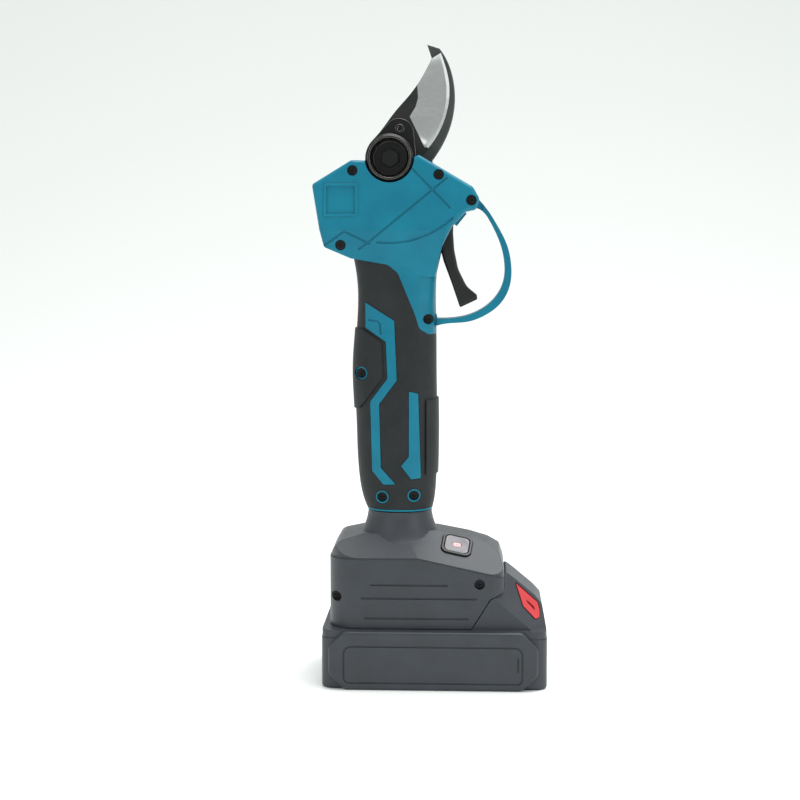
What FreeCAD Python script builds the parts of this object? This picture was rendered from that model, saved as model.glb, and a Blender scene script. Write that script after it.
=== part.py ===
import FreeCAD, Part

"""Cordless pruning shears, standing upright on their battery with the blades up.

Frame, in millimetres: +X towards the trigger, +Y across the tool, +Z up. The origin is
where the motor's axis meets the battery's flat bottom. The pivot of the blades lies along Y
and crosses the motor's axis, so the bevel gears share one apex.
"""

import math
import os

from FreeCAD import Vector

OUT = "parts"
EPS = 0.05  # running and face clearance between neighbouring solids
BIG = 400.0

# ---- driving dimensions -------------------------------------------------------------
PIVOT_Z = 265.0
PIVOT = Vector(0, 0, PIVOT_Z)

HEAD_HALF = 21.0
HEAD_FILLET = 2.2
FLANK_TOP, FLANK_LOW, FLANK_DEPTH = 229.0, 203.0, 4.4  # how the flanks fall back to the handle
WALL = 2.4
SKIN = 2.0
NECK_X = 4.5
NECK_R = 16.4
NECK_TOP = 86.5

# Outer surface of the handle: height, rear x, front x, half depth in y, and the power of
# the cross-section, where 2 is an ellipse and more is squarer.
HANDLE_SECTIONS = [
    (218.0, -19.4, 23.4, 18.6, 4.0),
    (207.0, -17.4, 22.9, 17.6, 3.8),
    (196.0, -16.8, 22.6, 17.2, 3.0),
    (184.0, -17.3, 22.8, 17.2, 2.5),
    (170.0, -18.4, 23.1, 17.7, 2.35),
    (156.0, -18.9, 23.2, 18.0, 2.35),
    (140.0, -18.2, 23.5, 18.0, 2.35),
    (124.0, -17.6, 23.6, 17.8, 2.35),
    (109.0, -16.9, 23.4, 17.6, 2.35),
    (98.0, -15.6, 22.9, 17.2, 2.35),
    (91.0, -13.8, 22.1, 16.6, 2.35),
    (87.0, -12.1, 21.1, 16.0, 2.35),
]

HEAD_OUTLINE = [
    (-38.6, 251.8, 2.0),
    (-19.0, 263.8, 4.0),
    (-12.0, 263.6, 1.0),
    (11.0, 264.6, 0.8),
    (14.5, 266.4, 1.5),
    (41.4, 250.6, 4.0),
    (44.8, 244.6, 3.0),
    (43.0, 239.4, 2.6),
    (38.0, 238.4, 1.2),
    (31.0, 231.0, 4.0),
    (26.0, 221.0, 8.0),
    (22.6, 206.0, 0.0),
    (6.0, 206.0, 0.0),
    (-1.0, 212.2, 1.5),
    (-19.4, 215.2, 2.0),
    (-32.7, 220.8, 2.0),
    (-35.0, 229.3, 1.0),
]
# Lower edge of the bare housing: the rubber grip begins below it.
TONGUE_EDGE = [
    (-40.0, 219.0, 0.0),
    (-19.4, 215.0, 2.0),
    (-1.0, 212.0, 4.0),
    (4.0, 208.0, 5.0),
    (12.6, 187.0, 5.0),
    (14.6, 180.0, 5.0),
    (19.4, 176.8, 4.0),
    (30.0, 177.6, 0.0),
]
HEAD_SCREWS = [(-18.3, 258.6), (24.4, 256.6), (40.6, 244.0), (-24.4, 221.8)]
GUARD_SCREW = (19.2, 184.6)
GRIP_SCREWS = [(-14.6, 157.3), (-3.9, 94.6), (12.2, 95.4)]
SCREW_R = 1.45
SCREW_HEAD_R = 2.45
SCREW_SINK = 4.0

STRIPE_LONG = [
    (-12.6, 193.4, 0.4),
    (2.4, 184.0, 0.8),
    (3.7, 154.0, 0.8),
    (-5.2, 142.0, 0.8),
    (-4.4, 109.6, 0.8),
    (3.2, 101.2, 0.3),
    (-3.2, 100.8, 0.5),
    (-9.2, 107.8, 0.8),
    (-10.1, 143.2, 0.8),
    (-1.3, 155.0, 0.8),
    (-2.1, 173.4, 0.8),
    (-12.6, 180.4, 0.4),
]
STRIPE_SHORT = [
    (9.5, 148.6, 0.6),
    (14.4, 147.4, 0.6),
    (15.8, 104.1, 0.6),
    (10.8, 103.6, 0.6),
    (5.5, 110.6, 0.5),
    (9.5, 115.4, 0.6),
]
PAD_REAR = [
    (-30.0, 179.6, 0.0),
    (-14.2, 179.6, 1.0),
    (-4.2, 173.2, 1.0),
    (-3.4, 155.8, 1.5),
    (-12.6, 143.4, 2.0),
    (-16.0, 139.4, 1.0),
    (-30.0, 137.2, 0.0),
]
PAD_FRONT = [(18.4, 143.9), (30.0, 143.9), (30.0, 105.6), (18.4, 105.6)]
PAD_RISE = 0.9

# Blades
BLADE_T = 3.2
MOVING_Y = -5.4  # near face of the moving blade
FIXED_Y = -2.1  # near face of the fixed blade
SHAFT_R = 5.0
MOVING_HUB_R = 12.4
FIXED_HUB_R = 11.8
CUTTING_EDGE = [
    (25.0, 317.4),
    (27.2, 311.2),
    (28.9, 304.2),
    (29.3, 296.2),
    (27.9, 287.6),
    (24.8, 279.3),
    (20.4, 272.2),
    (15.8, 267.2),
]
SPINE = [
    (-10.4, 271.7),
    (-6.8, 276.4),
    (-3.0, 281.4),
    (2.8, 289.0),
    (9.2, 296.2),
    (13.7, 302.2),
    (17.5, 308.6),
    (20.4, 314.4),
]
# Where the ground zone starts, and the cutting edge across from it, heel to tip.
GRIND = [
    ((17.0, 270.3), (18.6, 270.2)),
    ((14.8, 275.1), (21.8, 273.8)),
    ((12.1, 280.5), (25.1, 280.0)),
    ((9.5, 285.8), (27.2, 285.4)),
    ((12.4, 290.6), (28.4, 290.0)),
    ((13.7, 295.0), (29.1, 294.8)),
    ((13.2, 302.0), (29.2, 301.2)),
    ((17.1, 308.8), (27.8, 309.2)),
    ((20.0, 314.8), (25.2, 317.8)),
]
GRIND_STEP = 0.15
EDGE_T = 0.4
MICRO_BEVEL = 1.3
HOOK_OUTER = [
    (20.9, 264.0),
    (24.9, 269.9),
    (28.4, 276.9),
    (31.1, 285.6),
    (32.1, 295.1),
    (31.4, 303.2),
    (28.6, 312.6),
    (24.4, 319.6),
]
HOOK_TIP = (18.1, 321.6)
HOOK_INNER = [
    (20.6, 314.2),
    (23.8, 308.4),
    (25.6, 302.4),
    (25.9, 296.0),
    (24.4, 288.6),
    (21.2, 281.2),
    (16.8, 275.4),
    (9.6, 271.9),
]
FIXED_BOLTS = [(12.6, 254.4), (18.2, 256.4)]
LOCK_TAB = (4.2, 277.5)
LOCK_TAB_R = 7.4
LOCK_RING_R = 12.8
LOCK_SCREW = (4.6, 279.6)
NUT_R = 11.7
COVER_R = 12.9
NUT_FRONT = -20.6
NUT_BACK = -7.05

# Bevel gears: 44 teeth on the full gear, 13 on the pinion, module 1
GEAR_TEETH = 44
PINION_TEETH = 13
GEAR_R = 22.0
PINION_R = 6.5
SMALL_END = 0.695
TOOTH_ENDS = (0.985, 0.72)
ADDENDUM = 0.75
DEDENDUM = 1.15
TOOTH_HALF = 0.62
SECTOR_FIRST, SECTOR_LAST = -6, 1

# Planetary stage: ring 36, planets 12, sun 12, module 0.6
MODULE = 0.6
RING_TEETH, PLANET_TEETH, SUN_TEETH = 36, 12, 12
ORBIT_R = MODULE * (SUN_TEETH + PLANET_TEETH) / 2
PLANET_Z0, PLANET_Z1 = 216.5, 224.5
GEARBOX_R = 12.9
GEARBOX_Z0, GEARBOX_Z1 = 213.0, 231.5
MOTOR_R = 12.7
MOTOR_Z0, MOTOR_Z1 = 166.0, 210.8

# Trigger and guard
TRIGGER_PIVOT = (27.0, 235.4)
TRIGGER_HALF = 4.5
TRIGGER_OUTLINE = [
    (31.6, 236.6, 0.0),
    (31.4, 227.6, 3.0),
    (32.0, 219.0, 12.0),
    (34.0, 209.4, 14.0),
    (38.4, 200.6, 9.0),
    (43.6, 196.4, 1.2),
    (43.8, 194.2, 0.8),
    (35.0, 190.0, 0.8),
    (30.8, 202.3, 14.0),
    (26.6, 213.6, 14.0),
    (24.4, 222.0, 6.0),
    (22.4, 232.4, 0.0),
]
GUARD_HALF = 6.0
GUARD_OUTER = [
    (44.6, 244.2),
    (49.4, 238.4),
    (54.0, 231.0),
    (58.6, 221.8),
    (60.8, 211.6),
    (60.2, 201.4),
    (55.6, 192.4),
    (48.0, 186.4),
    (38.6, 182.9),
    (29.9, 182.2),
    (23.3, 180.9),
]
GUARD_INNER = [
    (23.3, 184.5),
    (30.0, 184.6),
    (38.0, 185.9),
    (46.4, 189.6),
    (53.2, 195.8),
    (57.0, 203.8),
    (57.4, 212.8),
    (54.8, 223.6),
    (50.2, 233.2),
    (46.0, 238.8),
    (42.0, 240.4),
]
EAR_HALF = 5.0

# Battery adapter (the base)
BASE_HALF = 31.0
BASE_BOTTOM = 30.0
BASE_SIDE = [
    (-30.4, 30.0, 0.0),
    (-30.4, 65.5, 6.0),
    (-26.0, 72.6, 6.0),
    (-14.0, 75.8, 6.0),
    (24.0, 76.6, 0.0),
    (40.0, 73.7, 8.0),
    (49.6, 70.6, 8.0),
    (55.6, 66.4, 3.0),
    (58.0, 57.6, 2.0),
    (58.0, 48.6, 2.0),
    (50.8, 45.4, 3.0),
    (41.6, 30.0, 0.0),
]
BASE_REAR, BASE_FRONT = -30.4, 58.0
# The crown stands a step inside the walls, above this line, under two sloping roof planes.
CROWN_STEP = 1.0
CREASE = [(-60.0, 64.8), (13.7, 65.2), (70.0, 53.0)]
ROOFS = [
    [(-24.0, -30.0, 65.6), (13.7, -30.0, 65.8), (0.0, -16.4, 75.8)],
    [(13.7, -30.0, 66.0), (56.3, -30.0, 56.8), (34.0, -10.0, 74.2)],
]
SWITCH_AT = (34.0, -16.4)  # middle of the power button, on the second roof plane
BASE_WALL = 2.4
BASE_SCREWS = [(45.6, 53.0), (-26.4, 45.6)]
RAIL_TOP = 37.8

# Battery
PACK_REAR, PACK_FRONT = -33.8, 79.6
PACK_HALF = 34.4
PACK_BULGE = 37.5
TRAY_TOP = 25.8
LID_TOP = 29.8
CELL_R, CELL_HALF = 9.2, 32.4
CELL_PITCH = 19.2
CELL_Z = 12.6
WEDGE_SIDE = [
    (41.9, 29.9, 0.0),
    (51.2, 45.2, 3.0),
    (58.25, 48.4, 2.0),
    (58.25, 56.8, 1.0),
    (63.4, 53.0, 8.0),
    (73.7, 44.4, 4.0),
    (77.2, 40.4, 3.0),
    (78.6, 33.4, 4.0),
    (79.4, 28.0, 0.0),
    (79.4, 25.9, 0.0),
    (41.9, 25.9, 0.0),
]
SLOPE_DEG = 40.0  # fall of the battery's front slope
# Outline of a release button, on the chamfer beside the slope.
RELEASE = [
    (63.4, 51.7, 0.3),
    (75.3, 41.3, 1.0),
    (76.3, 38.2, 1.0),
    (76.3, 34.8, 1.2),
    (73.8, 34.0, 1.2),
    (67.4, 40.6, 1.5),
]
RELEASE_POST = (70.2, 40.0)


# ---- small helpers ------------------------------------------------------------------
def v(x, y, z):
    """A vector."""
    return Vector(x, y, z)


def box(x0, x1, y0, y1, z0, z1):
    """A block between two corners."""
    return Part.makeBox(x1 - x0, y1 - y0, z1 - z0, v(x0, y0, z0))


def cyl_y(x, z, r, y0, y1):
    """A cylinder along Y."""
    return Part.makeCylinder(r, y1 - y0, v(x, y0, z), v(0, 1, 0))


def cyl_z(x, y, r, z0, z1):
    """A cylinder along Z."""
    return Part.makeCylinder(r, z1 - z0, v(x, y, z0), v(0, 0, 1))


def tube_z(x, y, r_out, r_in, z0, z1):
    """A tube along Z."""
    return cyl_z(x, y, r_out, z0, z1).cut(cyl_z(x, y, r_in, z0 - 1, z1 + 1))


def fuse(shapes):
    """One solid from several that overlap."""
    whole = shapes[0]
    for shape in shapes[1:]:
        whole = whole.fuse(shape)
    return whole


def corner_arcs(points):
    """Edges of a closed outline in XZ whose corners carry their own radius."""
    n = len(points)
    ends = []
    for i in range(n):
        x, z, r = points[i]
        p = v(x, 0, z)
        a = v(points[i - 1][0], 0, points[i - 1][1])
        b = v(points[(i + 1) % n][0], 0, points[(i + 1) % n][1])
        to_a, to_b = (a - p).normalize(), (b - p).normalize()
        half = to_a.getAngle(to_b) / 2
        if r <= 0 or half > math.radians(89.0):
            ends.append((p, None, p))
            continue
        reach = r / math.tan(half)
        bisector = (to_a + to_b).normalize()
        mid = p + bisector * (r / math.sin(half) - r)
        ends.append((p + to_a * reach, mid, p + to_b * reach))
    edges = []
    for i in range(n):
        start, mid, end = ends[i]
        if mid is not None:
            edges.append(Part.Arc(start, mid, end).toShape())
        following = ends[(i + 1) % n][0]
        if (following - end).Length > 1e-6:
            edges.append(Part.LineSegment(end, following).toShape())
    return edges


def face_xz(points):
    """A flat face in XZ; each point is (x, z) or (x, z, corner radius)."""
    full = [(p[0], p[1], p[2] if len(p) > 2 else 0.0) for p in points]
    return Part.Face(Part.Wire(Part.__sortEdges__(corner_arcs(full))))


def prism(points, y0, y1):
    """An outline in XZ carried along Y."""
    face = face_xz(points)
    face.translate(v(0, y0, 0))
    return face.extrude(v(0, y1 - y0, 0))


def prism_yz(points, x0, x1):
    """A polygon in YZ carried along X."""
    wire = Part.makePolygon([v(x0, y, z) for y, z in points + points[:1]])
    return Part.Face(wire).extrude(v(x1 - x0, 0, 0))


def spline(points):
    """A smooth edge in XZ through the points."""
    curve = Part.BSplineCurve()
    curve.interpolate([v(x, 0, z) for x, z in points])
    return curve.toShape()


def line(a, b):
    """A straight edge in XZ between two (x, z) points."""
    return Part.LineSegment(v(a[0], 0, a[1]), v(b[0], 0, b[1])).toShape()


def plate(edges, y0, y1):
    """A closed run of edges in XZ as a plate between two Y values."""
    face = Part.Face(Part.Wire(Part.__sortEdges__(edges)))
    face.translate(v(0, y0, 0))
    return face.extrude(v(0, y1 - y0, 0))


def spin_profile(points, centre, axis):
    """A closed (radius, height) profile turned about an axis through centre."""
    axis = Vector(axis)
    side = v(1, 0, 0)
    wire = Part.makePolygon([centre + side * r + axis * h for r, h in points + points[:1]])
    return Part.Face(wire).revolve(centre, axis, 360)


def near_half(shape):
    """What lies on the -Y side of the parting plane."""
    return shape.common(box(-BIG, BIG, -BIG, -EPS, -BIG, BIG))


def far_half(shape):
    """What lies on the +Y side of the parting plane."""
    return shape.common(box(-BIG, BIG, EPS, BIG, -BIG, BIG))


def far_copy(shape):
    """The shape mirrored to the +Y side."""
    return shape.mirror(v(0, 0, 0), v(0, 1, 0))


def fillet_edges(shape, radius, wanted):
    """Rounds the edges that wanted() picks, or leaves the shape if they can't be rounded."""
    edges = [e for e in shape.Edges if wanted(e)]
    try:
        rounded = shape.makeFillet(radius, edges)
    except Part.OCCError:
        return shape
    return rounded if rounded.isValid() and rounded.Volume > 0 else shape


def lies_at_y(y):
    """A test for edges that lie in the planes y and -y."""

    def test(edge):
        b = edge.BoundBox
        return b.YLength < 1e-4 and abs(abs(b.YMin) - y) < 1e-4

    return test


def rotated(shape, degrees, centre=PIVOT, axis=Vector(0, 1, 0)):
    """A copy turned about an axis through centre."""
    copy = shape.copy()
    copy.rotate(centre, axis, degrees)
    return copy


SAVED = {}


def save(name, shapes):
    """Writes one node as STEP: a single solid, or a group of separate solids."""
    shapes = shapes if isinstance(shapes, list) else [shapes]
    solids = [s for shape in shapes for s in shape.Solids]
    bad = [s for s in solids if not s.isValid() or s.Volume <= 0]
    whole = solids[0] if len(solids) == 1 else Part.makeCompound(solids)
    whole.exportStep(os.path.join(OUT, name + ".step"))
    SAVED[name] = whole
    print(f"{name}: {len(solids)} solid(s), {whole.Volume:.0f} mm3{'  BAD' if bad else ''}")


# ---- housing and grip ---------------------------------------------------------------
def handle_section(section, grow):
    """One closed cross-section of the handle, grown outwards by grow."""
    z, rear, front, half, power = section
    centre, a, b = (rear + front) / 2, (front - rear) / 2 + grow, half + grow
    points = []
    count = 24
    for i in range(count):
        t = 2 * math.pi * i / count
        c, s = math.cos(t), math.sin(t)
        x = a * math.copysign(abs(c) ** (2 / power), c)
        y = b * math.copysign(abs(s) ** (2 / power), s)
        points.append(v(centre + x, y, z))
    curve = Part.BSplineCurve()
    curve.interpolate(Points=points, PeriodicFlag=True)
    return Part.Wire(curve.toShape())


def handle_loft(grow):
    """The handle's outer form, grown outwards by grow."""
    wires = [handle_section(section, grow) for section in HANDLE_SECTIONS]
    return Part.makeLoft(wires, True, False)


def head_block():
    """The flat-sided head, with rounded edges and flanks that fall back to the handle."""
    block = prism(HEAD_OUTLINE, -HEAD_HALF, HEAD_HALF)
    block = fillet_edges(block, HEAD_FILLET, lies_at_y(HEAD_HALF))
    side, foot = -HEAD_HALF, FLANK_DEPTH - HEAD_HALF
    fallen = [(side - 1, FLANK_TOP), (side, FLANK_TOP), (foot, FLANK_LOW), (side - 1, FLANK_LOW)]
    flank = prism_yz(fallen, -45, 45)
    return block.cut(flank).cut(far_copy(flank))


def head_cavity():
    """The room inside the head."""
    inner = face_xz(HEAD_OUTLINE).makeOffset2D(-WALL)
    inner.translate(v(0, WALL - HEAD_HALF, 0))
    room = inner.extrude(v(0, 2 * (HEAD_HALF - WALL), 0))
    floor = box(-BIG, BIG, -BIG, BIG, 0, 224)
    middle = box(-BIG, BIG, -14.4, 14.4, -BIG, BIG)
    return room.cut(floor.cut(middle))


def panel_frame():
    """The raised square frame on a flank, as a ring."""
    x0, x1, z0, z1, rim = -32.8, -15.6, 235.8, 252.4, 1.5
    corners = [(x0, z0, 0.6), (x1, z0 + 0.6, 0.6), (x1, z1, 0.6), (x0 + 0.4, z1, 0.6)]
    outer = prism(corners, -HEAD_HALF - 0.4, 1 - HEAD_HALF)
    hole = box(x0 + rim, x1 - rim, -HEAD_HALF - 2, 2 - HEAD_HALF, z0 + rim, z1 - rim)
    return outer.cut(hole)


def strip(run, half_width, y0, y1):
    """Square bars along a run of (x, z) points, between two Y values."""
    bars = []
    for (ax, az), (bx, bz) in zip(run, run[1:]):
        length = math.hypot(bx - ax, bz - az)
        bar = box(-half_width, length + half_width, 0, y1 - y0, -half_width, half_width)
        bar.rotate(v(0, 0, 0), v(0, 1, 0), -math.degrees(math.atan2(bz - az, bx - ax)))
        bar.translate(v(ax, y0, az))
        bars.append(bar)
    return bars


def flank_grooves():
    """The shallow lines pressed into a flank, which follow it where it falls back."""
    wide, deep = 0.45, 0.5
    inner = deep - HEAD_HALF
    fall = FLANK_DEPTH * (FLANK_TOP - 210.0) / (FLANK_TOP - FLANK_LOW)
    profile = [(-23.0, 270.0), (inner, 270.0), (inner, FLANK_TOP), (inner + fall, 210.0), (-23.0, 210.0)]
    layer = prism_yz(profile, -45, 45)
    runs = [
        [(11.4, 259.4), (30.0, 240.4)],
        [(28.4, 254.9), (-10.1, 223.6), (-15.2, 219.9)],
        [(-32.8, 221.4), (-22.5, 228.7), (-10.1, 222.8)],
    ]
    cuts = [bar.common(layer) for run in runs for bar in strip(run, wide, -23.0, -12.0)]
    centre, radius = (-0.5, 270.6), 47.65
    ring = cyl_y(centre[0], centre[1], radius + wide, -23, -12)
    ring = ring.cut(cyl_y(centre[0], centre[1], radius - wide, -24, -11))
    cuts.append(ring.common(box(-6.5, 31.6, -BIG, 0, 215, 239)).common(layer))
    cuts.append(box(-31.3, -17.1, -HEAD_HALF - 1, deep - HEAD_HALF, 237.3, 250.9))
    return cuts


def stripe_mark():
    """The small hooked line pressed into the long stripe."""
    layer = handle_loft(1.0).cut(handle_loft(-0.2))
    run = [(-10.2, 184.2), (-6.2, 183.9), (-5.0, 182.6), (-4.5, 177.6)]
    return fuse([bar.common(layer) for bar in strip(run, 0.38, -22.0, -8.0)])


def screw_well(x, z, near_face):
    """What a housing screw needs cut from the near half: well, seat hole and thread hole."""
    seat = near_face + SCREW_SINK
    well = cyl_y(x, z, SCREW_HEAD_R + 0.15, near_face - 6, seat)
    shank = cyl_y(x, z, SCREW_R + EPS, seat - 1, 13)
    return fuse([well, shank])


def screw_boss(x, z, reach):
    """The post that carries a housing screw across both halves."""
    return cyl_y(x, z, 4.1, -reach, reach)


def housing_screw(x, z, near_face):
    """A pan-head thread-forming screw with a cross recess."""
    seat = near_face + SCREW_SINK
    head = Part.makeCylinder(SCREW_HEAD_R, 1.7, v(x, seat - 1.75, z), v(0, 1, 0))
    shank = cyl_y(x, z, SCREW_R, seat - 0.1, 12.6)
    slots = [box(x - 1.3, x + 1.3, seat - 2, seat - 0.9, z - 0.35, z + 0.35)]
    slots.append(box(x - 0.35, x + 0.35, seat - 2, seat - 0.9, z - 1.3, z + 1.3))
    return fuse([head, shank]).cut(slots[0]).cut(slots[1])


def well_faces():
    """Every housing screw with the y of the near face it is sunk into."""
    wells = [(x, z, -HEAD_HALF) for x, z in HEAD_SCREWS]
    wells.append((GUARD_SCREW[0], GUARD_SCREW[1], -11.5))
    for x, z in GRIP_SCREWS:
        wells.append((x, z, -12.0 if x < -10 else -15.6))
    return wells


def tongue_region():
    """Everything above the edge where the rubber grip stops."""
    upper = TONGUE_EDGE + [(30.0, 300.0, 0.0), (-40.0, 300.0, 0.0)]
    return prism(upper, -BIG / 2, BIG / 2)


def stripe_prisms(gap):
    """The two raised stripes as bars through the handle, less gap all round."""
    bars = []
    for outline in (STRIPE_LONG, STRIPE_SHORT):
        face = face_xz(outline)
        if gap:
            face = face.makeOffset2D(-gap)
        face.translate(v(0, -40, 0))
        bars.append(face.extrude(v(0, 80, 0)))
    return bars


def grip_rings(grow):
    """The bare rings round the grip's three screws, grown by grow."""
    return [cyl_y(x, z, SCREW_HEAD_R + 0.85 + grow, -40, 40) for x, z in GRIP_SCREWS]


def handle_core():
    """The hard handle: its tube, the stripes and rings that show, and the tongue."""
    core = handle_loft(-SKIN)
    lower = box(-BIG, BIG, -BIG, BIG, 0, HANDLE_SECTIONS[0][0])
    proud = handle_loft(0.25).common(lower)
    keep = [proud.common(bar) for bar in stripe_prisms(0.12)]
    keep += [proud.common(ring) for ring in grip_rings(0.0)]
    tongue = handle_loft(0.1).common(tongue_region())
    rim = handle_section(HANDLE_SECTIONS[-1], 0.2)
    collar = Part.Face(rim).extrude(v(0, 0, 0.9))
    return fuse([core, tongue, collar] + keep)


def housing_cuts():
    """Openings through both halves: blades, nut, cover, trigger and guard."""
    px, pz = TRIGGER_PIVOT
    cuts = [
        cyl_y(0, PIVOT_Z, NUT_R + 0.6, -BIG, 0),
        cyl_y(0, PIVOT_Z, COVER_R + 0.4, 0, BIG),
        box(-16.0, 24.5, -8.6, 5.2, 246.0, BIG),
        box(17.0, 40.0, -TRIGGER_HALF - 0.6, TRIGGER_HALF + 0.6, 204.5, 232.0),
        cyl_y(px, pz, 6.2, -TRIGGER_HALF - 0.6, TRIGGER_HALF + 0.6),
        cyl_y(px, pz, 2.05, -10.0, 10.0),
    ]
    for x, z in (HEAD_SCREWS[2], GUARD_SCREW):
        cuts.append(cyl_y(x, z, 4.3, -EAR_HALF - 0.1, EAR_HALF + 0.1))
    mouth = [(40.0, 239.4), (52.0, 232.0), (52.0, 252.0), (43.0, 247.2)]
    cuts.append(prism(mouth, -EAR_HALF - 0.1, EAR_HALF + 0.1))
    cuts.append(box(19.2, 32.0, -GUARD_HALF - 0.2, GUARD_HALF + 0.2, 180.4, 185.0))
    return cuts


def housing():
    """Both halves of the hard housing, as one shell before it is parted."""
    outer = fuse([head_block(), handle_core()])
    low_end = HANDLE_SECTIONS[-1][0]
    bore = handle_loft(-SKIN - WALL)
    plug = cyl_z(NECK_X, 0, NECK_R - 4.4, low_end - 5, low_end + 3)
    shell = outer.cut(head_cavity()).cut(fuse([bore, plug]))
    posts = [screw_boss(x, z, min(abs(face), 17.0)) for x, z, face in well_faces()]
    px, pz = TRIGGER_PIVOT
    posts.append(cyl_y(px, pz, 4.6, -19.0, 19.0))
    room_for_parts = [cyl_z(0, 0, GEARBOX_R + 0.15, MOTOR_Z0 - 4, 233.5)]
    posts = [p.common(outer) for p in posts]
    shell = fuse([shell] + posts)
    for cut in housing_cuts() + room_for_parts:
        shell = shell.cut(cut)
    stop = prism([(36.9, 238.6), (38.2, 237.4), (33.2, 231.2), (31.8, 232.4)], -9.0, -5.2)
    return shell, stop


def make_housing():
    """The two housing halves, the rubber grip and the screws that hold them."""
    shell, stop = housing()
    near, far = near_half(shell), far_half(shell)
    near = near.fuse(panel_frame().common(box(-BIG, BIG, -BIG, 0, 0, BIG)))
    for groove in flank_grooves() + [stripe_mark()]:
        near = near.cut(groove)
        far = far.cut(far_copy(groove))
    near = near.fuse(stop)
    far = far.fuse(far_copy(stop))
    for x, z, face in well_faces():
        well = screw_well(x, z, face)
        near = near.cut(well)
        far = far.cut(cyl_y(x, z, SCREW_R + EPS, -1, 13))
    save("housing_near", biggest(near))
    save("housing_far", biggest(far))
    save("head_screws", [housing_screw(*w) for w in well_faces()[:4]])
    save("handle_screws", [housing_screw(*w) for w in well_faces()[4:]])


def biggest(shape):
    """The largest solid of a shape, which drops slivers left by cutting."""
    return max(shape.Solids, key=lambda s: s.Volume)


def make_grip():
    """The rubber overmould, one skin on each half, with raised pads."""
    skin = handle_loft(0.0).cut(handle_loft(-SKIN + 0.02))
    padded = handle_loft(PAD_RISE).cut(handle_loft(-0.5))
    for outline in (PAD_REAR, PAD_FRONT):
        skin = skin.fuse(padded.common(prism(outline, -40, 40)))
    skin = skin.cut(tongue_region()).cut(box(-BIG, BIG, -BIG, BIG, 0, 88.05))
    for bar in stripe_prisms(0.0) + grip_rings(0.12):
        skin = skin.cut(bar)
    save("grip_near", biggest(near_half(skin)))
    save("grip_far", biggest(far_half(skin)))


def make_guard():
    """The finger guard: a crowned strap with an ear at each end."""
    ends = [line(GUARD_OUTER[-1], GUARD_INNER[0]), line(GUARD_INNER[-1], GUARD_OUTER[0])]
    strap = plate([spline(GUARD_OUTER), spline(GUARD_INNER)] + ends, -GUARD_HALF, GUARD_HALF)
    ears = []
    for (x, z), reach in ((HEAD_SCREWS[2], 4.0), (GUARD_SCREW, 4.2)):
        ears.append(cyl_y(x, z, reach, -EAR_HALF, EAR_HALF))
    link = prism([(40.6, 247.2), (44.6, 244.2), (42.0, 240.4), (39.8, 240.6)], -EAR_HALF, EAR_HALF)
    slim = box(-BIG, 46.4, -BIG, -EAR_HALF, 236.0, BIG)
    strap = strap.cut(slim).cut(far_copy(slim))
    guard = fuse([strap, link] + ears)
    tie = box(19.2, 24.0, -EAR_HALF, EAR_HALF, 181.0, 184.4)
    guard = guard.fuse(tie)
    for x, z in (HEAD_SCREWS[2], GUARD_SCREW):
        guard = guard.cut(cyl_y(x, z, SCREW_R + EPS, -20, 20))
    save("trigger_guard", biggest(guard.removeSplitter()))


# ---- blades and pivot ---------------------------------------------------------------
def hub_arc(radius, start_deg, end_deg):
    """An arc about the pivot in XZ, counter-clockwise seen from -Y."""

    def at(deg):
        a = math.radians(deg)
        return v(radius * math.cos(a), 0, PIVOT_Z + radius * math.sin(a))

    start, middle, end = at(start_deg), at((start_deg + end_deg) / 2), at(end_deg)
    return Part.Arc(start, middle, end).toShape(), start, end


def grinding():
    """What is ground off the moving blade's near face: a long bevel and a narrow edge bevel."""
    wires = []
    outside = MOVING_Y - 1.0
    for (gx, gz), (ex, ez) in GRIND:
        start, edge = v(gx, 0, gz), v(ex, 0, ez)
        width = (edge - start).Length
        way = (edge - start) * (1 / width)
        inner = edge - way * min(MICRO_BEVEL, 0.35 * width)
        past = edge + way * 0.8
        profile = [
            (start, outside),
            (start, MOVING_Y + GRIND_STEP),
            (inner, MOVING_Y + BLADE_T - 1.0),
            (past, MOVING_Y + BLADE_T - EDGE_T + 0.3),
            (past, outside),
        ]
        loop = [p + v(0, y, 0) for p, y in profile]
        wires.append(Part.makePolygon(loop + loop[:1]))
    return Part.makeLoft(wires, True, True)


def moving_blade():
    """The leaf-shaped cutting blade with its hub."""
    arc, left, right = hub_arc(MOVING_HUB_R, 147.0, 352.0)
    edges = [
        spline(SPINE),
        line(SPINE[-1], CUTTING_EDGE[0]),
        spline(CUTTING_EDGE),
        line(CUTTING_EDGE[-1], (right.x, right.z)),
        arc,
        line((left.x, left.z), SPINE[0]),
    ]
    blade = plate(edges, MOVING_Y, MOVING_Y + BLADE_T).cut(grinding())
    blade = blade.cut(cyl_y(0, PIVOT_Z, SHAFT_R + EPS, -20, 20))
    return blade.cut(cyl_y(LOCK_SCREW[0], LOCK_SCREW[1], 1.3, -20, 20))


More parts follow.
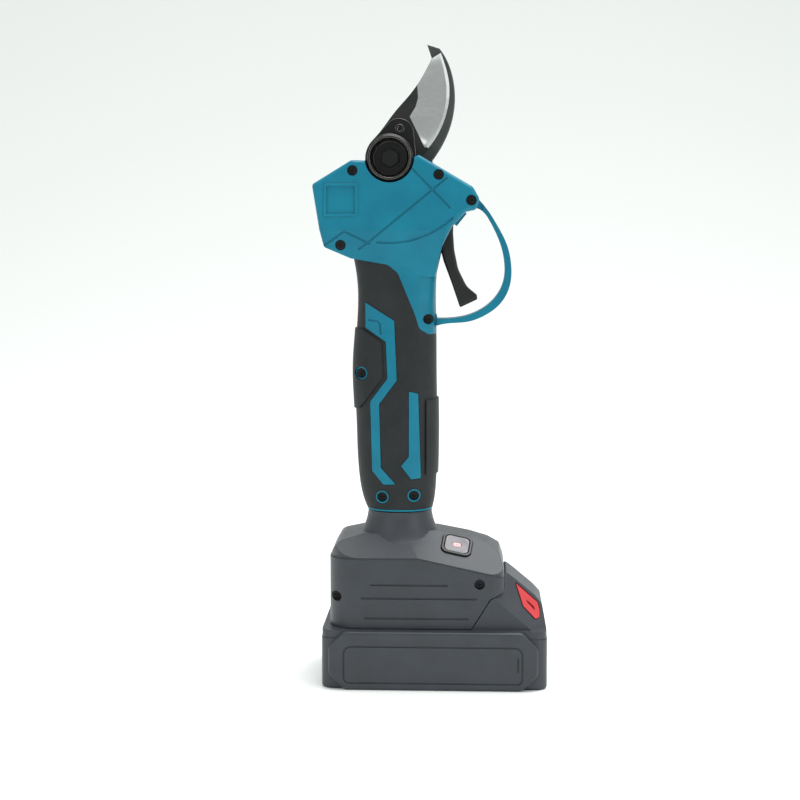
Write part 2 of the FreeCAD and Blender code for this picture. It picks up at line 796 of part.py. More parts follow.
def fixed_blade():
    """The hooked counter blade, bolted to the bracket."""
    arc, low, high = hub_arc(FIXED_HUB_R, -68.0, -306.0)
    tail = [(low.x, low.z), (8.9, 250.4), (20.2, 250.4), (21.4, 256.8), HOOK_OUTER[0]]
    edges = [line(a, b) for a, b in zip(tail, tail[1:])]
    edges += [
        spline(HOOK_OUTER),
        line(HOOK_OUTER[-1], HOOK_TIP),
        line(HOOK_TIP, HOOK_INNER[0]),
        spline(HOOK_INNER),
        line(HOOK_INNER[-1], (high.x, high.z)),
        arc,
    ]
    blade = plate(edges, FIXED_Y, FIXED_Y + BLADE_T)
    blade = fillet_edges(blade, 0.8, lambda e: e.BoundBox.ZLength > 45 and e.BoundBox.XMax > 31)
    blade = blade.cut(cyl_y(0, PIVOT_Z, SHAFT_R + EPS, -20, 20))
    for x, z in FIXED_BOLTS:
        blade = blade.cut(cyl_y(x, z, 1.55, -20, 20))
        cone = Part.makeCone(2.85, 1.5, 1.4, v(x, FIXED_Y - 0.02, z), v(0, 1, 0))
        blade = blade.cut(cone)
    return blade


def make_blades():
    """Both blades, the shaft, nut, locking plate and small fasteners."""
    save("moving_blade", moving_blade())
    save("fixed_blade", fixed_blade())
    bolts = []
    for x, z in FIXED_BOLTS:
        head = Part.makeCone(2.75, 1.45, 1.3, v(x, FIXED_Y + 0.03, z), v(0, 1, 0))
        bolt = head.fuse(cyl_y(x, z, 1.45, FIXED_Y + 0.5, 3.4))
        bolts.append(bolt.cut(cyl_y(x, z, 0.9, FIXED_Y - 1, FIXED_Y + 1.2)))
    save("fixed_blade_bolts", bolts)
    ring = hull_plate(LOCK_RING_R, MOVING_Y - 1.6, MOVING_Y - 0.02)
    ring = ring.cut(cyl_y(0, PIVOT_Z, SHAFT_R + EPS, -20, 20))
    ring = ring.cut(cyl_y(LOCK_SCREW[0], LOCK_SCREW[1], 1.35, -20, 20))
    save("lock_plate", ring)
    x, z = LOCK_SCREW
    head = cyl_y(x, z, 2.3, MOVING_Y - 3.5, MOVING_Y - 1.62)
    screw = head.fuse(cyl_y(x, z, 1.25, MOVING_Y - 1.7, MOVING_Y + 2.8))
    save("lock_screw", screw.cut(cyl_y(x, z, 1.2, MOVING_Y - 4, MOVING_Y - 2.4)))
    save("pivot_shaft", pivot_shaft())
    save("pivot_nut", pivot_nut())


def hull_plate(ring_r, y0, y1):
    """The locking plate: a ring about the pivot and a round tab, joined by tangents."""
    c0, c1 = v(0, 0, PIVOT_Z), v(LOCK_TAB[0], 0, LOCK_TAB[1])
    along = c1 - c0
    gap = along.Length
    base = math.atan2(along.z, along.x)
    spread = math.acos((ring_r - LOCK_TAB_R) / gap)

    def touch(centre, radius, sign):
        a = base + sign * spread
        return v(centre.x + radius * math.cos(a), 0, centre.z + radius * math.sin(a))

    a0, a1 = touch(c0, ring_r, -1), touch(c1, LOCK_TAB_R, -1)
    b0, b1 = touch(c0, ring_r, 1), touch(c1, LOCK_TAB_R, 1)
    tip = c1 + along * (LOCK_TAB_R / gap)
    back = c0 - along * (ring_r / gap)
    edges = [
        Part.LineSegment(a0, a1).toShape(),
        Part.Arc(a1, tip, b1).toShape(),
        Part.LineSegment(b1, b0).toShape(),
        Part.Arc(b0, back, a0).toShape(),
    ]
    return plate(edges, y0, y1)


def pivot_shaft():
    """The shaft that turns with the blade: a bearing length, a hex end and a key flange."""
    body = cyl_y(0, PIVOT_Z, SHAFT_R, -10.4, 14.4)
    corners = []
    for k in range(6):
        a = math.radians(60 * k + 30)
        corners.append((4.6 * math.cos(a), PIVOT_Z + 4.6 * math.sin(a)))
    return body.fuse(prism(corners, -13.0, -10.0))


def pivot_nut():
    """The round black nut: a deep dished cup over the shaft's end."""
    inner = 8.4
    profile = [
        (SHAFT_R + EPS, NUT_BACK),
        (NUT_R, NUT_BACK),
        (NUT_R, NUT_FRONT + 1.0),
        (NUT_R - 1.0, NUT_FRONT),
        (NUT_R - 1.9, NUT_FRONT),
        (inner + 0.6, NUT_FRONT + 4.6),
        (inner, NUT_FRONT + 5.4),
        (inner, NUT_BACK - 3.2),
        (SHAFT_R + EPS, NUT_BACK - 3.2),
    ]
    return spin_profile(profile, PIVOT, v(0, 1, 0))


# ---- bracket, bevel gears and planetary stage -----------------------------------------
def frustum(quad, apex, large, scale):
    """A solid between two copies of a quad shrunk towards apex."""
    corners = [apex + (c - apex) * large for c in quad]
    small = [apex + (c - apex) * scale for c in quad]
    faces = [Part.Face(Part.makePolygon(corners + corners[:1]))]
    faces.append(Part.Face(Part.makePolygon(small + small[:1])))
    for i in range(4):
        j = (i + 1) % 4
        loop = [corners[i], corners[j], small[j], small[i], corners[i]]
        faces.append(Part.Face(Part.makePolygon(loop)))
    solid = Part.Solid(Part.makeShell(faces))
    if solid.Volume < 0:
        solid.reverse()
    return solid


def bevel_tooth(outward, axis, side, pitch_r, depth, half_tip, half_root):
    """One straight bevel tooth. outward is radial, axis runs from the apex to the gear."""
    reach = math.hypot(pitch_r, depth)
    n_r, n_a = depth / reach, -pitch_r / reach
    tip = PIVOT + outward * (pitch_r + ADDENDUM * n_r) + axis * (depth + ADDENDUM * n_a)
    sunk = DEDENDUM + 0.35
    root = PIVOT + outward * (pitch_r - sunk * n_r) + axis * (depth - sunk * n_a)
    corners = [tip + side * half_tip, tip - side * half_tip, root - side * half_root, root + side * half_root]
    return frustum(corners, PIVOT, *TOOTH_ENDS)


def cone_points(pitch_r, depth):
    """The root cone at its large and small ends, as (radius, distance along the axis)."""
    reach = math.hypot(pitch_r, depth)
    n_r, n_a = depth / reach, -pitch_r / reach
    big = (pitch_r - DEDENDUM * n_r, depth - DEDENDUM * n_a)
    return big, (big[0] * SMALL_END, big[1] * SMALL_END)


def sector_gear():
    """The bevel sector that swings the blade, on its full round hub."""
    big, small = cone_points(GEAR_R, PINION_R)
    back = 11.2
    profile = [
        (SHAFT_R + EPS, 3.9),
        (10.5, 3.9),
        (13.4, small[1] + 0.3),
        small,
        big,
        (big[0] - 0.8, back),
        (9.2, back),
        (9.2, 13.6),
        (SHAFT_R + EPS, 13.6),
    ]
    body = spin_profile(profile, PIVOT, v(0, 1, 0))
    step = 360.0 / GEAR_TEETH
    first, last = -90 + (SECTOR_FIRST - 0.6) * step, -90 + (SECTOR_LAST + 0.6) * step
    fan = [(0, PIVOT_Z)]
    for deg in (first, (2 * first + last) / 3, (first + 2 * last) / 3, last):
        a = math.radians(deg)
        fan.append((40 * math.cos(a), PIVOT_Z + 40 * math.sin(a)))
    hub = cyl_y(0, PIVOT_Z, 10.5, 0, 20)
    body = body.common(prism(fan, 0, 20).fuse(hub))
    teeth = []
    for k in range(SECTOR_FIRST, SECTOR_LAST + 1):
        a = math.radians(-90 + k * step)
        outward, side = v(math.cos(a), 0, math.sin(a)), v(-math.sin(a), 0, math.cos(a))
        half_root = TOOTH_HALF + (DEDENDUM + 0.35) * math.tan(math.radians(20))
        half_tip = TOOTH_HALF - ADDENDUM * math.tan(math.radians(20))
        teeth.append(bevel_tooth(outward, v(0, 1, 0), side, GEAR_R, PINION_R, half_tip, half_root))
    return body.multiFuse(teeth)


def bevel_pinion():
    """The small bevel gear on the output shaft."""
    big, small = cone_points(PINION_R, GEAR_R)
    profile = [
        (3.05, small[1] - 0.4),
        (small[0] - 0.3, small[1] - 0.4),
        small,
        big,
        (5.6, big[1] + 0.8),
        (5.6, 25.4),
        (3.05, 25.4),
    ]
    body = spin_profile(profile, PIVOT, v(0, 0, -1))
    teeth = []
    for k in range(PINION_TEETH):
        a = math.radians(90 + (k + 0.5) * 360 / PINION_TEETH)
        outward, side = v(math.cos(a), math.sin(a), 0), v(-math.sin(a), math.cos(a), 0)
        half_root = TOOTH_HALF + (DEDENDUM + 0.35) * math.tan(math.radians(9))
        half_tip = TOOTH_HALF - ADDENDUM * math.tan(math.radians(26))
        teeth.append(bevel_tooth(outward, v(0, 0, -1), side, PINION_R, GEAR_R, half_tip, half_root))
    return body.multiFuse(teeth)


def head_bracket():
    """The cast frame: a flange over the gearbox, two legs and the pivot's ring plate."""
    y0, y1 = FIXED_Y + BLADE_T + 0.1, 3.5
    ring = cyl_y(0, PIVOT_Z, 12.6, y0, y1)
    corners = [(4.0, 252.6), (8.6, 249.4, 1.0), (20.4, 249.4, 2.0), (21.5, 257.4, 2.0), (10.0, 262.0)]
    ear = prism(corners, y0, y1)
    legs = []
    for sign in (-1, 1):
        legs.append(box(min(sign * 9.0, sign * 12.6), max(sign * 9.0, sign * 12.6), -4.4, y1, 236.0, 249.6))
        legs.append(box(min(sign * 9.0, sign * 12.6), max(sign * 9.0, sign * 12.6), y0, y1, 248.0, 259.0))
    flange = cyl_z(0, 0, GEARBOX_R, 231.6, 237.2)
    frame = fuse([ring, ear, flange] + legs)
    frame = frame.cut(cyl_y(0, PIVOT_Z, 7.0, -20, 20))
    frame = frame.cut(cyl_z(0, 0, 8.0, 230, 236.0)).cut(cyl_z(0, 0, 6.4, 230, 240))
    for x, z in FIXED_BOLTS:
        frame = frame.cut(cyl_y(x, z, 1.5, -20, 20))
    return frame


def spur_teeth(count, radius, tip, root, half_tip, half_root, z0, z1, phase, inward=False):
    """Prismatic gear teeth about the Z axis, for a gear or, inward, for a ring."""
    teeth = []
    sign = -1 if inward else 1
    for k in range(count):
        a = math.radians(phase + k * 360.0 / count)
        out, side = v(math.cos(a), math.sin(a), 0), v(-math.sin(a), math.cos(a), 0)
        top, low = out * (radius + sign * tip), out * (radius - sign * root)
        loop = [top + side * half_tip, top - side * half_tip, low - side * half_root, low + side * half_root]
        loop = [p + v(0, 0, z0) for p in loop]
        teeth.append(Part.Face(Part.makePolygon(loop + loop[:1])).extrude(v(0, 0, z1 - z0)))
    return teeth


def spur_gear(count, bore, z0, z1, phase):
    """A small spur gear about the Z axis."""
    radius = MODULE * count / 2
    root = radius - 1.25 * MODULE
    blank = tube_z(0, 0, root, bore, z0, z1)
    teeth = spur_teeth(count, radius, 0.85 * MODULE, 1.25 * MODULE + 0.15, 0.16, 0.52, z0, z1, phase)
    return blank.multiFuse(teeth)


def planet_places():
    """Angle and centre of each planet gear."""
    places = []
    for deg in (90, 210, 330):
        a = math.radians(deg)
        places.append((deg, ORBIT_R * math.cos(a), ORBIT_R * math.sin(a)))
    return places


def make_gearbox():
    """Bracket, bearings, bevel pair and the planetary stage."""
    save("head_bracket", head_bracket())
    bush = tube_y(0, PIVOT_Z, 6.95, SHAFT_R + 0.03, FIXED_Y + BLADE_T + 0.1, 3.6)
    save("pivot_bush", bush)
    save("sector_gear", sector_gear())
    save("bevel_pinion", bevel_pinion())
    outer_race = tube_z(0, 0, 7.95, 6.2, 231.7, 235.9)
    inner_race = tube_z(0, 0, 4.8, 3.53, 231.7, 235.9)
    balls = []
    for k in range(9):
        a = math.radians(40 * k)
        balls.append(Part.makeSphere(0.68, v(5.5 * math.cos(a), 5.5 * math.sin(a), 233.8)))
    save("output_bearing", [outer_race] + balls)
    save("bearing_inner_race", inner_race)
    ring_r = MODULE * RING_TEETH / 2
    case = tube_z(0, 0, GEARBOX_R, ring_r + 1.25 * MODULE, GEARBOX_Z0, GEARBOX_Z1)
    tip, root = 0.8 * MODULE, 1.25 * MODULE + 0.2
    z0, z1 = PLANET_Z0 - 1, PLANET_Z1 + 1
    teeth = spur_teeth(RING_TEETH, ring_r, tip, root, 0.16, 0.56, z0, z1, 0, True)
    save("ring_gear", case.multiFuse(teeth))
    for index, (deg, x, y) in enumerate(planet_places()):
        gear = spur_gear(PLANET_TEETH, 1.55, PLANET_Z0, PLANET_Z1, deg + 180 + 15)
        gear.translate(v(x, y, 0))
        save(f"planet_gear_{index + 1}", gear)
    disc = cyl_z(0, 0, 9.8, 225.2, 227.6)
    stem = cyl_z(0, 0, 5.0, 227.0, 231.5).fuse(cyl_z(0, 0, 3.5, 231.0, 236.2))
    spindle = cyl_z(0, 0, 3.0, 236.0, PIVOT_Z - 16.2)
    pins = [cyl_z(x, y, 1.5, PLANET_Z0 - 0.6, 225.6) for _, x, y in planet_places()]
    save("planet_carrier", fuse([disc, stem, spindle] + pins))
    save("sun_gear", spur_gear(SUN_TEETH, 1.6, PLANET_Z0 - 0.5, PLANET_Z1, 0))


def tube_y(x, z, r_out, r_in, y0, y1):
    """A tube along Y."""
    return cyl_y(x, z, r_out, y0, y1).cut(cyl_y(x, z, r_in, y0 - 1, y1 + 1))


# ---- motor and electronics ------------------------------------------------------------
def make_motor():
    """Motor can, end bell, stator, rotor and shaft, with the plate to the gearbox."""
    plate_ring = tube_z(0, 0, GEARBOX_R, 3.4, MOTOR_Z1 + 0.1, GEARBOX_Z0 - 0.05)
    save("gearbox_plate", plate_ring)
    can = tube_z(0, 0, MOTOR_R, MOTOR_R - 0.9, MOTOR_Z0 + 4, MOTOR_Z1)
    cap = tube_z(0, 0, MOTOR_R, 3.0, MOTOR_Z1 - 1.2, MOTOR_Z1)
    slots = []
    for k in range(6):
        slot = box(8.0, 11.0, -1.4, 1.4, MOTOR_Z1 - 3, MOTOR_Z1 + 1)
        slot.rotate(v(0, 0, 0), v(0, 0, 1), 60 * k)
        slots.append(slot)
    save("motor_can", cut_all(fuse([can, cap]), slots))
    bell = cyl_z(0, 0, MOTOR_R, MOTOR_Z0, MOTOR_Z0 + 3.9).cut(cyl_z(0, 0, 1.7, 100, 200))
    bell = bell.cut(cyl_z(0, 0, 9.8, MOTOR_Z0 + 1.6, MOTOR_Z0 + 5))
    save("motor_end_bell", bell)
    core = tube_z(0, 0, MOTOR_R - 0.95, 7.0, MOTOR_Z0 + 8, MOTOR_Z1 - 7)
    slots = []
    for k in range(6):
        gap = box(6.0, 10.4, -1.1, 1.1, 100, 300)
        gap.rotate(v(0, 0, 0), v(0, 0, 1), 60 * k + 30)
        slots.append(gap)
    save("motor_stator", cut_all(core, slots))
    magnet = tube_z(0, 0, 6.6, 1.62, MOTOR_Z0 + 8, MOTOR_Z1 - 7)
    save("motor_rotor", magnet)
    save("motor_shaft", cyl_z(0, 0, 1.58, MOTOR_Z0 - 2.5, PLANET_Z1 - 0.2))


def cut_all(shape, tools):
    """The shape less every tool."""
    for tool in tools:
        shape = shape.cut(tool)
    return shape


def make_electronics():
    """Controller, its capacitor, the trigger's sensor board and the motor leads."""
    board = box(-9.5, 14.0, 2.0, 3.6, 101.0, 148.0)
    chips = [box(x, x + 4.6, -0.4, 2.1, z, z + 6.0) for x in (-8.0, -1.0, 6.0) for z in (126.0, 136.0)]
    capacitor = cyl_z(4.0, -2.7, 4.8, 102.0, 121.0)
    save("controller_board", fuse([board, capacitor] + chips))
    leads = [cyl_z(x, 4.6, 0.9, 140.0, MOTOR_Z0 - 0.1) for x in (-6.0, 0.0, 6.0)]
    leads += [cyl_z(x, 4.8, 1.1, 41.0, 112.0) for x in (2.4, 5.8)]
    save("power_leads", leads)
    sensor = box(16.6, 18.0, -6.0, 6.0, 215.6, 229.0)
    sensor = sensor.fuse(box(18.0, 19.2, -1.5, 1.5, 221.0, 224.0))
    save("trigger_sensor_board", sensor)


# ---- trigger --------------------------------------------------------------------------
def make_trigger():
    """The trigger lever, its pin, return spring and sensing magnet."""
    px, pz = TRIGGER_PIVOT
    lever = prism(TRIGGER_OUTLINE, -TRIGGER_HALF, TRIGGER_HALF)
    lever = fillet_edges(lever, 1.3, lies_at_y(TRIGGER_HALF))
    hub = cyl_y(px, pz, 5.2, -TRIGGER_HALF, TRIGGER_HALF)
    lever = fuse([lever, hub]).cut(cyl_y(px, pz, 2.04, -20, 20))
    lever = lever.cut(cyl_y(px, pz, 5.4, -1.9, 1.9))
    magnet = cyl_y(26.4, 223.6, 1.2, -1.2, 1.2)
    lever = lever.cut(cyl_y(26.4, 223.6, 1.25, -1.25, 1.25))
    save("trigger", biggest(lever))
    save("trigger_magnet", magnet)
    save("trigger_pin", cyl_y(px, pz, 2.0, -9.5, 9.5))
    coil_r, wire_r, turns, pitch = 3.2, 0.35, 3, 1.0
    helix = Part.makeHelix(pitch, pitch * turns, coil_r)
    circle = Part.Wire(Part.makeCircle(wire_r, v(coil_r, 0, 0), v(0, 1, 0)))
    coil = Part.Wire(helix).makePipeShell([circle], True, True)
    coil.rotate(v(0, 0, 0), v(1, 0, 0), -90)
    coil.translate(v(px, -pitch * turns / 2, pz))
    save("trigger_spring", coil)


# ---- base -----------------------------------------------------------------------------
def roof_axes(points):
    """A roof plane's directions: along the fall, up the slope and outwards."""
    a, b, c = (Vector(*p) for p in points)
    along = (b - a).normalize()
    out = along.cross(c - a).normalize()
    if out.z < 0:
        out = out * -1
    return along, out.cross(along), out


def roof_cutter(points, drop):
    """Everything above a sloping roof plane, lowered by drop."""
    along, up, out = roof_axes(points)
    corner = Vector(*points[0]) - out * drop
    slab = Part.makeBox(300, 300, 60, v(-150, -150, 0))
    slab.Placement = FreeCAD.Placement(corner, FreeCAD.Rotation(along, up, out, "XYZ"))
    return slab


def base_plan(inset):
    """The adapter's footprint with rounded corners, as a tall block."""
    half = BASE_HALF - inset
    rear, front = BASE_REAR + inset, BASE_FRONT + 1 - inset
    plan = box(rear, front, -half, half, 0, 120)
    for radius, x in ((15.0, rear), (9.0, front)):
        posts = [e for e in plan.Edges if e.BoundBox.ZLength > 100 and abs(e.BoundBox.XMin - x) < 0.01]
        plan = plan.makeFillet(radius - inset, posts)
    return plan


def base_form(inset):
    """The adapter's outer form, or with an inset the room inside it."""
    side = face_xz(BASE_SIDE)
    if inset:
        side = side.makeOffset2D(-inset)
    half = BASE_HALF - inset
    side.translate(v(0, -half, 0))
    body = side.extrude(v(0, 2 * half, 0)).common(base_plan(inset))
    for points in ROOFS:
        roof = roof_cutter(points, inset)
        body = body.cut(roof).cut(far_copy(roof))
    if inset:
        return body
    above = prism(CREASE + [(70.0, 120.0), (-60.0, 120.0)], -60, 60)
    return body.cut(above.common(base_plan(0).cut(base_plan(CROWN_STEP))))


def neck_form(inset):
    """The round neck that flares smoothly onto the adapter."""
    flare = [(29.0, 65.2), (26.5, 67.2), (24.0, 69.6), (20.8, 73.4), (18.4, 77.8), (17.0, 82.0)]
    curve = [(NECK_X + r - inset, z - 0.6 * inset) for r, z in flare + [(NECK_R, 85.6)]]
    top = (NECK_X + NECK_R - inset, NECK_TOP)
    corners = [curve[-1], top, (NECK_X, NECK_TOP), (NECK_X, curve[0][1]), curve[0]]
    edges = [spline(curve)] + [line(a, b) for a, b in zip(corners, corners[1:])]
    face = Part.Face(Part.Wire(Part.__sortEdges__(edges)))
    return face.revolve(v(NECK_X, 0, 0), v(0, 0, 1), 360)


def base_grooves():
    """The moulded lines round the adapter's walls."""
    cuts = []
    for z, x0, x1 in ((52.2, -9.0, 29.6), (45.4, -14.0, 44.0), (35.2, -12.0, 40.0)):
        cuts.append(box(x0, x1, -BASE_HALF - 1, 0.6 - BASE_HALF, z - 0.4, z + 0.4))
    return cuts


def make_base():
    """The adapter's two shells, rail plate, switch parts, contacts and screws."""
    outer = fuse([base_form(0), neck_form(0)])
    room = fuse([base_form(BASE_WALL), neck_form(BASE_WALL)])
    room = room.fuse(box(-26, 44, -26, 26, 29, 40)).fuse(cyl_z(NECK_X, 0, 12.0, 60, 90))
    shell = outer.cut(room)
    wells = [(x, z, -BASE_HALF) for x, z in BASE_SCREWS]
    wells[1] = (wells[1][0], wells[1][1], -24.5)
    posts = [cyl_y(x, z, 4.4, -29.0, 29.0).common(outer) for x, z, _ in wells]
    shell = fuse([shell] + posts)
    mouth = box(-27.5, 62, -24.5, 24.5, 28.0, RAIL_TOP + 3.2)
    button_hole = on_roof(soft_block(15.6, 14.8, 3.7, -6.0, 6.0))
    front_free = prism([(41.0, 29.0), (59.0, 29.0), (59.0, 48.2), (50.6, 44.9)], -24.5, 24.5)
    shell = cut_all(shell, [mouth, button_hole, front_free])
    near, far = near_half(shell), far_half(shell)
    near = cut_all(near, base_grooves())
    far = cut_all(far, [far_copy(g) for g in base_grooves()])
    for x, z, face in wells:
        near = near.cut(screw_well(x, z, face))
        far = far.cut(cyl_y(x, z, SCREW_R + EPS, -1, 13))
    save("base_shell_near", biggest(near))
    save("base_shell_far", biggest(far))
    save("base_screws", [housing_screw(*w) for w in wells])
    save("rail_plate", rail_plate())
    save("terminal_block", terminal_block())
    blades = [box(-25.4, -13.6, y - 0.4, y + 0.4, 31.9, 36.6) for y in (-9.0, 9.0)]
    save("terminal_blades", blades)
    make_switch()


def rail_plate():
    """The plate inside the adapter whose T-slot guides the battery."""
    block = box(-28.2, 40.4, -28.2, 28.2, BASE_BOTTOM + 0.2, RAIL_TOP + 2.6)
    neck = box(-26.4, 60, -17.4, 17.4, 29.0, 35.0)
    head = box(-26.4, 60, -21.9, 21.9, 33.6, RAIL_TOP + 0.35)
    fits = base_form(BASE_WALL + 0.1).fuse(box(-25.9, 40.0, -25.9, 25.9, 29, 39.9))
    return biggest(block.common(fits).cut(neck).cut(head))


def terminal_block():
    """The moulded block that carries the contact blades at the slot's closed end."""
    block = box(-26.3, -22.2, -14.0, 14.0, 30.6, RAIL_TOP + 0.2)
    for y in (-9.0, 9.0):
        block = block.cut(box(-25.45, -20, y - 0.45, y + 0.45, 31.85, 36.65))
    return block


def soft_block(length, width, radius, z0, z1):
    """A block about the Z axis with rounded upright corners."""
    block = box(-length / 2, length / 2, -width / 2, width / 2, z0, z1)
    return block.makeFillet(radius, [e for e in block.Edges if e.BoundBox.ZLength > 0.9 * (z1 - z0)])


def on_roof(shape):
    """Puts a shape made about the origin at the power button's place, square to the roof."""
    along, up, out = roof_axes(ROOFS[1])
    a = Vector(*ROOFS[1][0])
    x, y = SWITCH_AT
    z = a.z - ((x - a.x) * out.x + (y - a.y) * out.y) / out.z
    shape.Placement = FreeCAD.Placement(v(x, y, z), FreeCAD.Rotation(along, up, out, "XYZ"))
    return shape


def make_switch():
    """Power button, its bezel, lens and switch board, square to the adapter's roof."""
    bezel = soft_block(15.4, 14.6, 3.6, -2.2, 0.9).cut(soft_block(12.6, 11.8, 2.6, -4, 4))
    bezel = bezel.makeFillet(0.4, [e for e in bezel.Edges if abs(e.BoundBox.ZMin - 0.9) < 1e-4])
    save("button_bezel", on_roof(bezel))
    button = soft_block(12.0, 11.2, 2.3, -4.0, 0.7)
    button = button.cut(Part.makeSphere(40.0, v(0, 0, 40.25)))
    save("power_button", on_roof(button.cut(soft_block(4.6, 3.6, 0.9, -0.6, 2.0))))
    save("button_lens", on_roof(soft_block(4.4, 3.4, 0.8, -0.55, 0.3)))
    board = box(-6.0, 6.0, -6.0, 6.0, -8.6, -7.2).fuse(box(-1.4, 1.4, -1.4, 1.4, -7.3, -5.4))
    save("switch_board", on_roof(board))


# ---- battery --------------------------------------------------------------------------
def pack_box(half, z0, z1, inset=0.0):
    """The battery's box with rounded upright corners."""
    block = box(PACK_REAR + inset, PACK_FRONT + 0.0 - inset, -half, half, z0, z1)
    posts = [e for e in block.Edges if e.BoundBox.ZLength > (z1 - z0) - 0.01 and e.BoundBox.XLength < 0.01]
    posts = [e for e in posts if e.BoundBox.YLength < 0.01]
    return block.makeFillet(6.0 - inset, posts)


def bulge_outline(shrink):
    """The side panel's outline, with clipped and rounded corners."""
    x0, x1, z1, c = -30.0 + shrink, 75.0 - shrink, 29.8 - shrink, 8.0
    low = shrink
    return [
        (x0 + c, low, 5.0),
        (x1 - c, low, 5.0),
        (x1, low + c, 6.0),
        (x1, z1 - c, 6.0),
        (x1 - c, z1, 5.0),
        (x0 + c, z1, 5.0),
        (x0, z1 - c, 6.0),
        (x0, low + c, 6.0),
    ]


def tray_body():
    """The battery's lower case with its side panels."""
    outer = pack_box(PACK_HALF, 0.0, TRAY_TOP)
    lower = [e for e in outer.Edges if abs(e.BoundBox.ZMax) < 1e-4]
    try:
        outer = outer.makeFillet(1.5, lower)
    except Part.OCCError:
        outer = outer.makeChamfer(1.0, lower)
    panel = prism(bulge_outline(0.0), -PACK_BULGE, -PACK_HALF + 1.5)
    panel = fillet_edges(panel, 1.6, lies_at_y(PACK_BULGE))
    below_lid = box(-BIG, BIG, -BIG, BIG, -1, TRAY_TOP)
    panel = panel.common(below_lid.fuse(box(-BIG, BIG, -BIG, -PACK_HALF - 0.1, 0, 40)))
    wide = [(-22.6, 3.4, 3.0), (67.4, 3.4, 3.0), (67.4, 22.6, 4.0), (-22.6, 22.6, 4.0)]
    slim = [(-21.9, 4.1, 2.4), (66.7, 4.1, 2.4), (66.7, 21.9, 3.4), (-21.9, 21.9, 3.4)]
    groove = prism(wide, -40, 0.5 - PACK_BULGE).cut(prism(slim, -41, 1.5 - PACK_BULGE))
    panel = panel.cut(groove).cut(box(64.5, 65.3, -40, 0.6 - PACK_BULGE, 10.0, 17.0))
    tray = outer.fuse(panel).fuse(far_copy(panel))
    room = pack_box(PACK_HALF - 1.6, 2.0, TRAY_TOP + 5, 2.0)
    tray = tray.cut(room)
    for x in (-30.4, 76.2):
        post = box(x - 3.4, x + 3.4, -33.0, -26.6, 2.0, TRAY_TOP - 0.02)
        for p in (post, far_copy(post)):
            tray = tray.fuse(p.common(outer))
    for x, y in pack_screw_places():
        tray = tray.cut(cyl_z(x, y, 1.3, 5.0, 30.0))
        tray = tray.cut(cyl_z(x, y, 2.6, -1.0, 3.0)).cut(cyl_z(x, y, 1.5, 2.0, 8.0))
    return tray


def pack_screw_places():
    """The four screws that close the battery's case from below."""
    return [(x, y) for x in (-29.4, 75.2) for y in (-29.6, 29.6)]


def wedge_form(inset):
    """The battery's sloping front, cut back on both sides like the adapter's roof."""
    face = face_xz(WEDGE_SIDE)
    if inset:
        face = face.makeOffset2D(-inset)
    half = BASE_HALF - inset
    face.translate(v(0, -half, 0))
    body = face.extrude(v(0, 2 * half, 0))
    crest = v(58.0, -14.5, 57.4)
    along = v(math.cos(math.radians(SLOPE_DEG)), 0, -math.sin(math.radians(SLOPE_DEG)))
    across = (v(58.0, -BASE_HALF, 41.4) - crest).normalize()
    normal = across.cross(along).normalize()
    if normal.z < 0:
        normal = normal * -1
    slab = Part.makeBox(300, 300, 60, v(-150, -150, 0))
    slab.Placement = FreeCAD.Placement(crest - normal * inset, FreeCAD.Rotation(v(0, 0, 1), normal))
    return body.cut(slab).cut(far_copy(slab))


